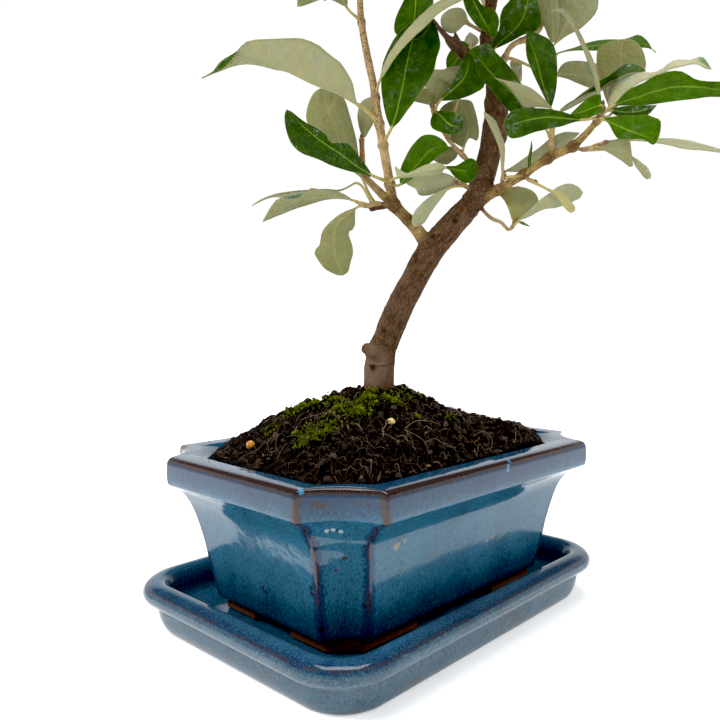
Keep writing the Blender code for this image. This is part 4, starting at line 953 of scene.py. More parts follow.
def inside_ring(inset, height, clear=0.0):
    extra = INSIDE_LONG_EXTRA * min(1.0, (POT_RIM - height) / 10)
    return pot_ring(POT_LENGTH / 2 - inset - clear, POT_WIDTH / 2 - inset - extra - clear, height,
                    INSIDE_LEG, INSIDE_LEG, clear * 0.5 - INSIDE_CORNER_BULGE, True)


def make_foot(side_x, side_y):
    """One L-shaped foot under a corner, its edges rounded."""
    half_x, half_y = POT_LENGTH / 2 - FOOT_SETBACK_X, POT_WIDTH / 2 - FOOT_SETBACK_Y
    inner = FOOT_LEG + FOOT_THICK / 4
    outline = [
        (FOOT_END_X, half_y), (half_x - FOOT_LEG, half_y), (half_x, half_y - FOOT_LEG), (half_x, FOOT_END_Y),
        (half_x - FOOT_THICK, FOOT_END_Y), (half_x - FOOT_THICK, half_y - inner),
        (half_x - inner, half_y - FOOT_THICK), (FOOT_END_X, half_y - FOOT_THICK),
    ]
    centre = Vector((sum(x for x, y in outline) / 8, sum(y for x, y in outline) / 8))
    rings = []
    for shrink, z in ((0.8, POT_REST), (0.2, POT_REST + 0.5), (0.0, POT_REST + 1.2),
                      (0.0, POT_UNDERSIDE + 1.5)):
        for x, y in outline:
            way = (centre - Vector((x, y))).normalized() * shrink
            rings.append(Vector((side_x * (x + way.x), side_y * (y + way.y), z)) * MM)
    skin = Skin()
    skin.add(rings, ring_faces(8, 4, True, True))
    return skin.build("foot", [])


def make_pot():
    skin = Skin()
    verts, edge_values, inset_values, rings = [], [], [], 0
    for inset_x, inset_y, height in profile_curve(POT_OUTSIDE, 0.75):
        ring, edges = outside_ring(inset_x, inset_y, height)
        for point, edge in zip(ring, edges):
            wave = waves_at(point, POT_WAVES)
            out = Vector((point.x, point.y * 1.3, 0)).normalized()
            verts.append(point + out * (wave * MM))
            edge_values.append(edge)
            inset_values.append(inset_x)
        rings += 1
    for inset, height in [p.xy for p in profile_curve([(a, b, 0.0) for a, b in POT_INSIDE], 3.0)]:
        ring, edges = inside_ring(inset, height)
        verts.extend(ring)
        edge_values.extend([20.0] * len(ring))
        inset_values.extend([inset] * len(ring))
        rings += 1
    count = len(verts) // rings
    skin.add(verts, ring_faces(count, rings, True, True), 0, edge=edge_values, inset=inset_values)
    pot = skin.build("pot_glazed", [], 60)
    group = bpy.data.collections.new("pot_feet")
    for x, y in CORNERS:
        foot = make_foot(x, y)
        bpy.context.scene.collection.objects.unlink(foot)
        group.objects.link(foot)
    combine(pot, "UNION", operand_type="COLLECTION", collection=group)
    for foot in list(group.objects):
        bpy.data.objects.remove(foot, do_unlink=True)
    bpy.data.collections.remove(group)
    for side in (1, -1):
        turns = [k * 2 * math.pi / DRAIN_HOLE_SIDES for k in range(DRAIN_HOLE_SIDES)]
        rings = [Vector((side * DRAIN_HOLE_X + DRAIN_HOLE_RADIUS * math.cos(turn),
                         DRAIN_HOLE_RADIUS * math.sin(turn), z)) * MM
                 for z in (POT_REST, POT_FLOOR + 5) for turn in turns]
        skin = Skin()
        skin.add(rings, ring_faces(DRAIN_HOLE_SIDES, 2, True, True))
        cutter = skin.build("drain_hole", [])
        combine(pot, "DIFFERENCE", object=cutter)
        bpy.data.objects.remove(cutter, do_unlink=True)
    pot.data.materials.clear()
    pot.data.materials.append(glaze_paint("pot_glaze", marks_on(pot)))
    pot.data.shade_smooth()
    pot.data.set_sharp_from_angle(angle=math.radians(60))
    return finish_piece(pot, "blue_glaze", "pot")


def keep_result(piece):
    graph = bpy.context.evaluated_depsgraph_get()
    graph.update()
    finished = bpy.data.meshes.new_from_object(piece.evaluated_get(graph))
    piece.modifiers.clear()
    piece.data = finished


def combine(piece, operation, **operand):
    step = piece.modifiers.new("combine", "BOOLEAN")
    step.operation, step.solver = operation, "EXACT"
    for key, value in operand.items():
        setattr(step, key, value)
    keep_result(piece)


# ---------------------------------------------------------------- soil
def mound_height(across, toward, share):
    reach = math.hypot(across, toward)
    edge = MOUND_EDGE - MOUND_EDGE_TILT * (toward / reach if reach > 0 else 0)
    height = edge + (MOUND_TOP - edge) * (1 - share ** MOUND_POWER)
    for lump_across, lump_toward, rise, spread in MOUND_LUMPS:
        apart = math.hypot(across - lump_across, toward - lump_toward) / spread
        height += rise * math.exp(-apart * apart) * min(1.0, 4 * (1 - share))
    return height


SOIL_EDGE = [(v / MM).xy for v in inside_ring(*POT_INSIDE[1], SOIL_CLEAR)[0]]
TRUNK_FOOT = (front(TRUNK[0][0], 0, 0) / MM).xy
SOIL_DIRECTIONS, SOIL_FAR = 720, 60.0
SOIL_RING, SOIL_STEPS, SOIL_GAP = 480, 120, 0.15
SOIL_SIDE = [(0.905, POT_FLOOR + 0.6), (0.925, 26.0), (0.965, 45.0), (0.995, 60.0)]     # share, height


def edge_distance(way):
    """How far the soil's edge is from the trunk in one direction."""
    for start, end in zip(SOIL_EDGE, SOIL_EDGE[1:] + SOIL_EDGE[:1]):
        a, b = start - TRUNK_FOOT, end - TRUNK_FOOT
        det = way.x * (a.y - b.y) - way.y * (a.x - b.x)
        if abs(det) < 1e-9:
            continue
        run = (a.x * (a.y - b.y) - a.y * (a.x - b.x)) / det
        share = (way.x * a.y - way.y * a.x) / det
        if run > 0 and -1e-6 <= share <= 1 + 1e-6:
            return run
    return SOIL_FAR


SOIL_REACH = []
for step in range(SOIL_DIRECTIONS):
    bearing = (step + 0.5) / SOIL_DIRECTIONS * 2 * math.pi - math.pi
    SOIL_REACH.append(edge_distance(Vector((math.cos(bearing), math.sin(bearing)))))


def soil_reach(way):
    """The kept distance from the trunk to the soil's edge for a direction."""
    turn = (math.atan2(way.y, way.x) + math.pi) / (2 * math.pi)
    return SOIL_REACH[int(turn * SOIL_DIRECTIONS) % SOIL_DIRECTIONS]


def soil_share(x, y):
    """How far a place lies on the way from the trunk to the pot's wall, 0 to 1."""
    way = Vector((x - TRUNK_FOOT.x, y - TRUNK_FOOT.y))
    return way.length / soil_reach(way)


def soil_top(x, y):
    """The height of the crumbly surface at a place, in millimetres."""
    share = min(soil_share(x, y), 1.0)
    flat = Vector((x, y, 0))
    height = mound_height(flat.dot(ACROSS), flat.dot(TOWARD), share)
    keep = ease(1.0, 0.9, share) * 0.75 + 0.25
    rough = 1.5 * noise.noise(flat * 0.13 + Vector((3, 1, 7))) + 1.5 * noise.noise(flat * 0.30)
    rough += 1.1 * (0.35 - abs(noise.noise(flat * 0.62 + Vector((9, 2, 4)))) * 2) + 0.55 * noise.noise(flat
                                                                                                       * 1.5)
    height += keep * (rough + 0.25 * noise.noise(flat * 3.1))
    return height


def make_soil(paint):
    outline = []
    for k in range(SOIL_RING):
        angle = 2 * math.pi * k / SOIL_RING - math.pi + 0.002
        outline.append(Vector((math.cos(angle), math.sin(angle))))
    levels = [(share, 0.0, height) for share, height in SOIL_SIDE]
    levels += [(1.0 - 0.965 * (k / SOIL_STEPS) ** 0.9, SOIL_GAP, None) for k in range(SOIL_STEPS + 1)]
    verts = []
    for share, trim, height in levels:
        for way in outline:
            far = soil_reach(way) - trim
            x, y = TRUNK_FOOT.x + way.x * far * share, TRUNK_FOOT.y + way.y * far * share
            verts.append(Vector((x, y, soil_top(x, y) if height is None else height)) * MM)
    skin = Skin()
    skin.add(verts, ring_faces(SOIL_RING, len(levels), True, True))
    return finish_piece(skin.build("soil_mound", [paint], 70), "potting_soil", "soil")


def soil_place(draw, near=None):
    """A random place on the mound as (point, outward normal)."""
    while True:
        if near:
            across, toward, spread = near
            flat = ACROSS * (across + draw.gauss(0, spread)) + TOWARD * (toward + draw.gauss(0, spread))
        else:
            flat = Vector((draw.uniform(-64, 64), draw.uniform(-45, 45), 0))
        if (flat.xy - TRUNK_FOOT).length > 6.5 and soil_share(flat.x, flat.y) < 0.985:
            break
    z = soil_top(flat.x, flat.y)
    slope = Vector((z - soil_top(flat.x + 0.8, flat.y), z - soil_top(flat.x, flat.y + 0.8), 0.8)).normalized()
    return Vector((flat.x, flat.y, z)), slope


def lump(draw, size, squash=0.7):
    """A crumb: a small ball with its points pushed about."""
    points, faces = ball(1)
    seed = Vector((draw.random(), draw.random(), draw.random())) * 40
    turn = Matrix.Rotation(draw.uniform(0, 6.28), 3,
                           Vector((draw.random(), draw.random(), draw.random() + 0.1)))
    verts = []
    for point in points:
        place = point * (1 + 0.55 * noise.noise(point * 1.3 + seed))
        verts.append(turn @ Vector((place.x, place.y * blend(squash, 1, 0.5), place.z * squash)) * size)
    return verts, faces


def make_crumbs(paint):
    draw = random.Random(SEED + 1)
    skin = Skin()
    for k in range(CRUMBS):
        place, normal = soil_place(draw)
        size = 0.3 + 1.5 * draw.random() ** 4
        verts, faces = lump(draw, size)
        centre = place + normal * size * 0.25
        skin.add([(centre + v) * MM for v in verts], faces, 0, tone=draw.random() ** 5)
    return finish_piece(skin.build("soil_crumbs", [paint], 40), "potting_soil")


def fibre_path(draw, start, length, lift, curl, count):
    """A fibre that wanders over the surface and rises off it by its own lift."""
    flat = Vector((draw.gauss(0, 1), draw.gauss(0, 1), 0)).normalized()
    turn, points = draw.gauss(0, curl), []
    place = start.copy()
    for k in range(count + 1):
        share = k / count
        ground = soil_top(place.x, place.y) if soil_share(place.x, place.y) < 1 else start.z
        high = ground + 0.15 + lift * math.sin(math.pi * min(share * 1.15, 1.0))
        points.append(Vector((place.x, place.y, high)) * MM)
        flat.rotate(Matrix.Rotation(turn + draw.gauss(0, 0.22), 3, "Z"))
        ahead = place + flat * (length / count)
        if soil_share(ahead.x, ahead.y) < 0.99:
            place = ahead
        else:
            flat.rotate(Matrix.Rotation(2.0, 3, "Z"))
    return smooth_path(points, 2)


# Single hairs and roots that the photograph shows: distance toward the viewer, radius at start
# and end and tone, and their way in the photograph's pixels
HAIRS = [
    (12, (0.12, 0.05, 0.05), "294,406 300,402.5 308,399.5 320,396.5 331,393"),
    (12, (0.09, 0.03, 0.1), "345,398 338,391.5 342,387 347,384"),
    (6, (0.05, 0.02, 0.3), "444,407 440,400 435,393"), (6, (0.04, 0.02, 0.3), "441,404 438,398 437,391"),
    (18, (0.05, 0.02, 0.5), "205,449 198,440 197,428 201,415 208,408"),
    (16, (0.05, 0.02, 0.5), "220,437 221,425 226,414 234,408"),
    (17, (0.10, 0.06, 0.2), "209,445 209.5,437 211,429"), (14, (0.05, 0.02, 0.4), "207,447 203,439 200,434"),
    (33, (0.09, 0.06, 0.9), "342,420 343,428 347,433 349,438"),
    (38, (0.11, 0.07, 0.8), "344,480 358,468 372,458 385,450 399,440"),
    (38, (0.09, 0.06, 1.0), "399,440 396,450 391,458 386,463"),
    (37, (0.07, 0.05, 0.9), "404,430 414,434 424,441 428,450 428,460"),
    (40, (0.10, 0.06, 0.7), "299,466 302,458 306,452 311,447"),
    (38, (0.08, 0.05, 0.8), "311,447 318,444 326,446 333,452"),
    (34, (0.07, 0.05, 0.7), "326,409 333,414 340,419"),
    (34, (0.08, 0.05, 0.6), "300,420 312,416 325,413 336,411"),
    (30, (0.08, 0.05, 0.8), "405,428 416,421 428,421 438,424"),
    (36, (0.07, 0.05, 0.8), "370,455 380,450 390,447 404,449"),
    (37, (0.08, 0.05, 0.7), "270,452 282,450 296,447 306,449"),
    (24, (0.08, 0.05, 0.7), "474,436 484,431 492,440 490,452"),
]


def make_fibres(paint):
    draw = random.Random(SEED + 2)
    skin = Skin()
    for k in range(FIBRES):
        place = soil_place(draw)[0]
        long = k % 9 == 0
        length = draw.uniform(6, 17) if long else draw.uniform(1.5, 6)
        lift = draw.uniform(0.3, 2.4) if long else draw.uniform(0.1, 1.2)
        path = fibre_path(draw, place, length, lift, 0.14, 8 if long else 4)
        thick = 0.068 * draw.uniform(0.5, 1.5) * MM
        radii = [thick * (1 - 0.7 * (j / (len(path) - 1)) ** 2) for j in range(len(path))]
        add_tube(skin, path, radii, 3, 0, tone=draw.random() ** 4.5)
    for toward, (thick, thin, tone), text in HAIRS:
        path = smooth_path([seen(x, y, toward) for x, y in places_of(text)], 5)
        radii = [blend(thick, thin, k / (len(path) - 1)) * MM for k in range(len(path))]
        add_tube(skin, path, radii, 4, 0, tone=tone)
    return finish_piece(skin.build("soil_fibres", [paint], 80), "potting_soil")


def make_chips(paint):
    """Flat tan bits of bark and husk."""
    draw = random.Random(SEED + 3)
    skin = Skin()
    for k in range(CHIPS):
        place, normal = soil_place(draw)
        length, width = draw.uniform(1.2, 3.6), draw.uniform(0.7, 1.7)
        verts, faces = lump(draw, 1.0, 0.5)
        side = normal.orthogonal().normalized()
        side.rotate(Matrix.Rotation(draw.uniform(0, 6.28), 3, normal))
        other = normal.cross(side)
        rise = draw.uniform(0.15, 0.5)
        skin.add([(place + normal * 0.35 + side * v.x * length / 2 + other * v.y * width / 2 + normal * v.z
                   * rise) * MM
                  for v in verts], faces, 0, tone=draw.random())
    return finish_piece(skin.build("soil_chips", [paint], 40), "potting_soil")


# Moss patches: across, toward, spread and how many shoots
MOSS = [
    (-12, 19, 2.6, 430), (-7, 17, 2.0, 300), (-11, 24, 2.2, 330), (-25, 34, 2.2, 420), (-20, 31, 1.8, 260),
    (-29, 30, 1.6, 160), (-27, 38, 1.5, 240), (-33, 10, 2.4, 330), (-27, 9, 2.0, 240), (-19, 11, 2.0, 240),
    (-5, 11, 1.8, 160), (-1, 14, 1.6, 90), (4, 12, 1.9, 110), (7, 4, 1.8, 100), (11, 18, 0.9, 70),
    (-20, 20, 2.4, 90), (-9, -14, 3.5, 220), (14, -10, 3.6, 200), (-30, -12, 3.4, 220), (24, 8, 1.2, 60),
    (-42, 22, 1.3, 80),
]


def make_moss(paint):
    """Small upright leafy shoots in dense cushions with gaps between."""
    draw = random.Random(SEED + 4)
    skin = Skin()
    for across, toward, spread, count in MOSS:
        for k in range(count):
            place, normal = soil_place(draw, (across, toward, spread))
            cushion = noise.noise(place * 0.45)
            if cushion < -0.12:
                continue
            tall = draw.uniform(0.55, 1.25) * (1 + cushion)
            place = place + normal * (0.9 * cushion)
            tip = (normal + Vector((draw.gauss(0, 0.3), draw.gauss(0, 0.3), 0.6))).normalized()
            tone = min(max(draw.gauss(0.50 + 0.5 * cushion, 0.30), 0.0), 1.0)
            side = tip.orthogonal().normalized()
            for turn in range(3):
                side.rotate(Matrix.Rotation(2.1 + draw.uniform(-0.3, 0.3), 3, tip))
                out = place + tip * tall * 0.95 + side * tall * 0.42
                wide = tip.cross(side) * tall * 0.2
                low = place + tip * tall * draw.uniform(0.0, 0.3)
                mid = low.lerp(out, 0.55) + tip * 0.12
                skin.add([low * MM, (mid + wide) * MM, out * MM, (mid - wide) * MM, (mid - tip * 0.14) * MM],
                         [(0, 1, 2), (0, 2, 3), (0, 4, 1), (1, 4, 2), (2, 4, 3), (3, 4, 0)], 0,
                         tone=[tone * 0.15, tone * 0.7, tone, tone * 0.7, tone * 0.3])
    return finish_piece(skin.build("moss", [paint], 30), "potting_soil")


# ---------------------------------------------------------------- trunk
def smooth_wood(points, per_span):
    places = smooth_path([front(*point[:3]) for point in points], per_span)
    radii = []
    for k in range(len(points) - 1):
        radii.extend(blend(points[k][3], points[k + 1][3], j / per_span) for j in range(per_span))
    radii.append(points[-1][3])
    return places, [r * MM for r in radii]


def shoot_path(name):
    return smooth_path([front(*point) for point in SHOOTS[name]["path"]], 4)


def shoot_stretch(name, start, end, pieces):
    path = shoot_path(name)
    runs = along(path)
    radius_a, radius_b = SHOOTS[name]["radii"]
    stout = STOUT.get(name, 1.0)
    end = min(end, runs[-1])
    points, radii = [], []
    for k in range(pieces + 1):
        run = blend(start, end, k / pieces)
        points.append(point_on(path, runs, run)[0])
        radii.append(blend(radius_a * stout, radius_b * (0.4 + 0.6 * stout), run / runs[-1]) * MM)
    return points, radii


def make_trunk(paint):
    """The wood as one skin: its stems remeshed together, then roughened as bark."""
    skin = Skin()
    lines = []
    for number, points in enumerate(WOOD):
        path, radii = smooth_wood(points, 6)
        if points is RIGHT_LIMB:
            radii = [radius * LIMB_SLIMMER for radius in radii]
        add_tube(skin, path, radii, 20)
        lines.append((path, 0.0 if number in (0, 3, 4, 5) else 0.95))
    for name, shoot in SHOOTS.items():
        points, radii = shoot_stretch(name, 0.0, shoot["spur"] * MM, 8)
        add_tube(skin, points, radii, 14)
        lines.append((points, 1.0))
    for centre, radius, dark in KNOBS:
        skin.add(*ball(3, radius * MM, front(*centre)))
    trunk = skin.build("trunk_bark", [paint], 180)
    step = trunk.modifiers.new("skin", "REMESH")
    step.mode, step.voxel_size, step.use_smooth_shade = "VOXEL", VOXEL * MM, True
    step = trunk.modifiers.new("even", "SMOOTH")
    step.factor, step.iterations = 0.5, 6
    keep_result(trunk)
    mesh = trunk.data
    tree = tree_of([point for path, age in lines for point in path])
    stations = [(path, along(path), k, age) for path, age in lines for k in range(len(path))]
    core = tree_of(lines[0][0])
    scars, young, knobs, grains = [], [], [], []
    normals = [v.normal.copy() for v in mesh.vertices]
    for v, normal in zip(mesh.vertices, normals):
        place = v.co / MM
        path, runs, k, age = stations[tree.find(v.co)[1]]
        age *= ease(5.2, 8.5, core.find(v.co)[2] / MM)
        knot = 0.0
        for centre, radius, dark in KNOBS:
            if dark:
                knot = max(knot, dark * ease(1.7, 1.0, (place - front(*centre) / MM).length / radius))
        knobs.append(knot)
        ahead = heading(path, k)
        aside = ahead.cross(TOWARD).normalized()
        apart = (v.co - path[k]) / MM
        grain = Vector((apart.dot(aside), apart.dot(aside.cross(ahead)), apart.dot(ahead) + runs[k] / MM))
        grains.extend(grain)
        slow = Vector((grain.x, grain.y, grain.z * 0.30))
        rough = (0.30 * noise.noise(slow * 0.42) + 0.22 * noise.noise(slow * 0.95 + Vector((5, 5, 5)))
                 + 0.12 * noise.noise(slow * 2.1))
        dark = 0.0
        for centre, radius, depth in SCARS:
            apart = (place - front(*centre) / MM).length / radius
            if apart < 2:
                dark = max(dark, ease(1.1, 0.45, apart))
                rough += depth * (ease(1.0, 0.0, apart) - 0.45 * ease(1.5, 1.0, apart)
                                  * ease(0.7, 1.0, apart))
        v.co += normal * (rough * MM * (1 - 0.65 * age))
        scars.append(dark)
        young.append(age)
    for key, row in (("scar", scars), ("young", young), ("knob", knobs)):
        set_values(mesh, key, row)
    set_values(mesh, "grain", grains, "FLOAT_VECTOR", "vector")
    mesh.materials.clear()
    mesh.materials.append(paint)
    mesh.shade_smooth()
    return finish_piece(trunk, "bark", "trunk")


# How much stouter than the solid a shoot starts, and how far its skin turns orange toward the tip
STOUT = {"leader_shoot": 1.15, "left_side_shoot": 1.45, "left_low_shoot": 1.25, "right_upright_shoot": 1.2}
ORANGE = {"left_side_shoot": 0.9, "low_inner_shoot": 0.5}
LIMB_SLIMMER = 0.84     # the right limb against its solid
VOXEL = 0.5
SCALY_ABOVE = 186       # the leader is dotted with brown scales above this height
# Swellings of the wood: place in the front frame, radius and how dark
KNOBS = [
    ((37.5, 166, 0.5), 4.9, 0), ((42.6, 186, -0.5), 4.9, 0), ((43.3, 199, -2.4), 5.0, 0),
    ((-4.6, 102.8, 3.6), 3.6, 0), ((60.8, 175.2, 10.1), 2.35, 0.7), ((69.4, 179, 13.1), 2.3, 0.6),
    ((43.4, 164.5, 5.2), 2.5, 0.5), ((52.5, 169.9, 8.1), 2.2, 0.5), ((3.2, 158.9, 4.9), 2.9, 0.8),
    ((8.4, 153.6, 3.4), 2.5, 0.6), ((40.5, 226, -2.6), 3.0, 0), ((-4.4, 158.1, 7.6), 1.95, 1),
    ((-2.6, 158.3, 6.9), 1.75, 1), ((-5.0, 157.3, 8.2), 1.55, 1), ((-1.0, 158.4, 6.1), 1.6, 0.8),
]
SCARS = [
    ((-5.0, 96.2, 5.6), 1.7, -0.9), ((11.5, 137.5, 4.9), 1.6, 0.5), ((18.0, 147.0, 4.6), 1.5, 0.5),
    ((26.8, 152.8, 4.8), 1.5, -0.5), ((11.0, 123.5, 5.2), 1.3, 0.4), ((-1.2, 110.8, 5.2), 1.6, 0.5),
    ((4.0, 107.8, 5.2), 1.4, 0.5), ((38.4, 201.5, 1.9), 2.1, -0.7), ((-8.9, 104.3, 5.8), 1.1, -0.4),
]


# ---------------------------------------------------------------- leaves
def blade_frame(blade, share):
    """A point of the midrib with its side and upper-face directions."""
    base, middle, tip = blade["base"], blade["middle"], blade["tip"]
    bend = middle * 2 - (base + tip) / 2
    point = base * (1 - share) ** 2 + bend * 2 * share * (1 - share) + tip * share ** 2
    ahead = ((bend - base) * (1 - share) + (tip - bend) * share).normalized()
    upper = (blade["upper"] - ahead * blade["upper"].dot(ahead)).normalized()
    upper = Matrix.Rotation(math.radians(blade["twist"] * share), 3, ahead) @ upper
    return point, ahead, ahead.cross(upper), upper


def half_width(share, width, widest):
    warped = share ** (math.log(0.5) / math.log(widest))
    return width / 2 * max(math.sin(math.pi * warped), 0.0) ** BLADE_FULLNESS


def stalk_root(path, runs, base, start):
    nearest = min(range(len(path)), key=lambda k: (path[k] - base).length)
    away = (path[nearest] - base).length
    return point_on(path, runs, max(start, runs[nearest] - 0.9 * away))


def seen_blade(name, path, runs, row):
    base, middle, tip = (front(*place) for place in row[:3])
    width, turn, twist, widest = row[3:7]
    axis = (tip - base).normalized()
    facing = (TOWARD - axis * TOWARD.dot(axis)).normalized()
    angle = math.radians(turn)
    upper = facing * math.cos(angle) + axis.cross(facing) * math.sin(angle)
    root, ahead = stalk_root(path, runs, base, (SHOOTS[name]["spur"] + 1.2) * MM)
    return dict(root=root, growing=ahead, base=base, middle=middle, tip=tip, width=width * MM, upper=upper,
                twist=twist, widest=widest, look=row[7] if len(row) > 7 else "")


def rule_blade(root, ahead, spin, lean, length, sag, widest):
    out = Matrix.Rotation(spin, 3, ahead) @ ahead.orthogonal().normalized()
    way = (out * (1 - lean * 0.4) + ahead * lean).normalized()
    upper = (ahead - way * ahead.dot(way)).normalized()
    base = root + way * RULE_STALK * MM
    return dict(root=root, growing=ahead, base=base,
                middle=base + way * (length * 0.5) + upper * (length * 0.06),
                tip=base + way * length + Vector((0, 0, -sag * length)), width=length * LEAF_ASPECT,
                upper=upper, twist=0, widest=widest, look="")


def marks_of(blade):
    marks = []
    for share in (0.16, 0.3, 0.44, 0.58, 0.72, 0.86, 1.0):
        point, ahead, side, upper = blade_frame(blade, share)
        half = half_width(min(share, 0.97), blade["width"], blade["widest"])
        marks.extend(point + side * half * reach for reach in (-0.95, -0.48, 0, 0.48, 0.95))
    return marks


def is_free(blade, taken):
    for mark in marks_of(blade):
        floor = PICTURE_TOP - PICTURE_TOP_FALL * mark.dot(TOWARD)
        if mark.z < floor or taken.find(mark)[2] < LEAF_SPACING * MM:
            return False
    return True


def plan_leaves():
    """The CAD's own plan: the picture's leaves, then those by rule where there is room."""
    draw = random.Random(SEED)
    leaves = {}
    filled = [p for points in WOOD for p in smooth_wood(points, 4)[0]]
    for name in SHOOTS:
        path = shoot_path(name)
        filled.extend(path)
        leaves[name] = [seen_blade(name, path, along(path), row) for row in SHOOTS[name]["leaves"]]
        for blade in leaves[name]:
            filled.extend(marks_of(blade))
    for name, (count, start, size) in RULE_LEAVES.items():
        path = shoot_path(name)
        runs = along(path)
        for k in range(count):
            share = blend(start, 1.0, k / (count - 1))
            root, ahead = point_on(path, runs, runs[-1] * share)
            length = size * MM * draw.uniform(0.8, 1.05) * (1.05 - 0.3 * share)
            sag = draw.uniform(0.05, 0.28)
            widest = draw.uniform(0.45, 0.62)
            lean = 1.0 if k == count - 1 else draw.uniform(0.3, 0.7)
            taken = tree_of(filled)
            for turn in range(12):
                blade = rule_blade(root, ahead, k * GOLDEN_ANGLE + turn * SPIN_STEP, lean, length, sag,
                                   widest)
                if is_free(blade, taken):
                    leaves[name].append(blade)
                    filled.extend(marks_of(blade))
                    break
    return leaves


def form_of(look, rib, left, right, **more):
    return dict(look=look, rib=rib, left=left, right=right, **more)


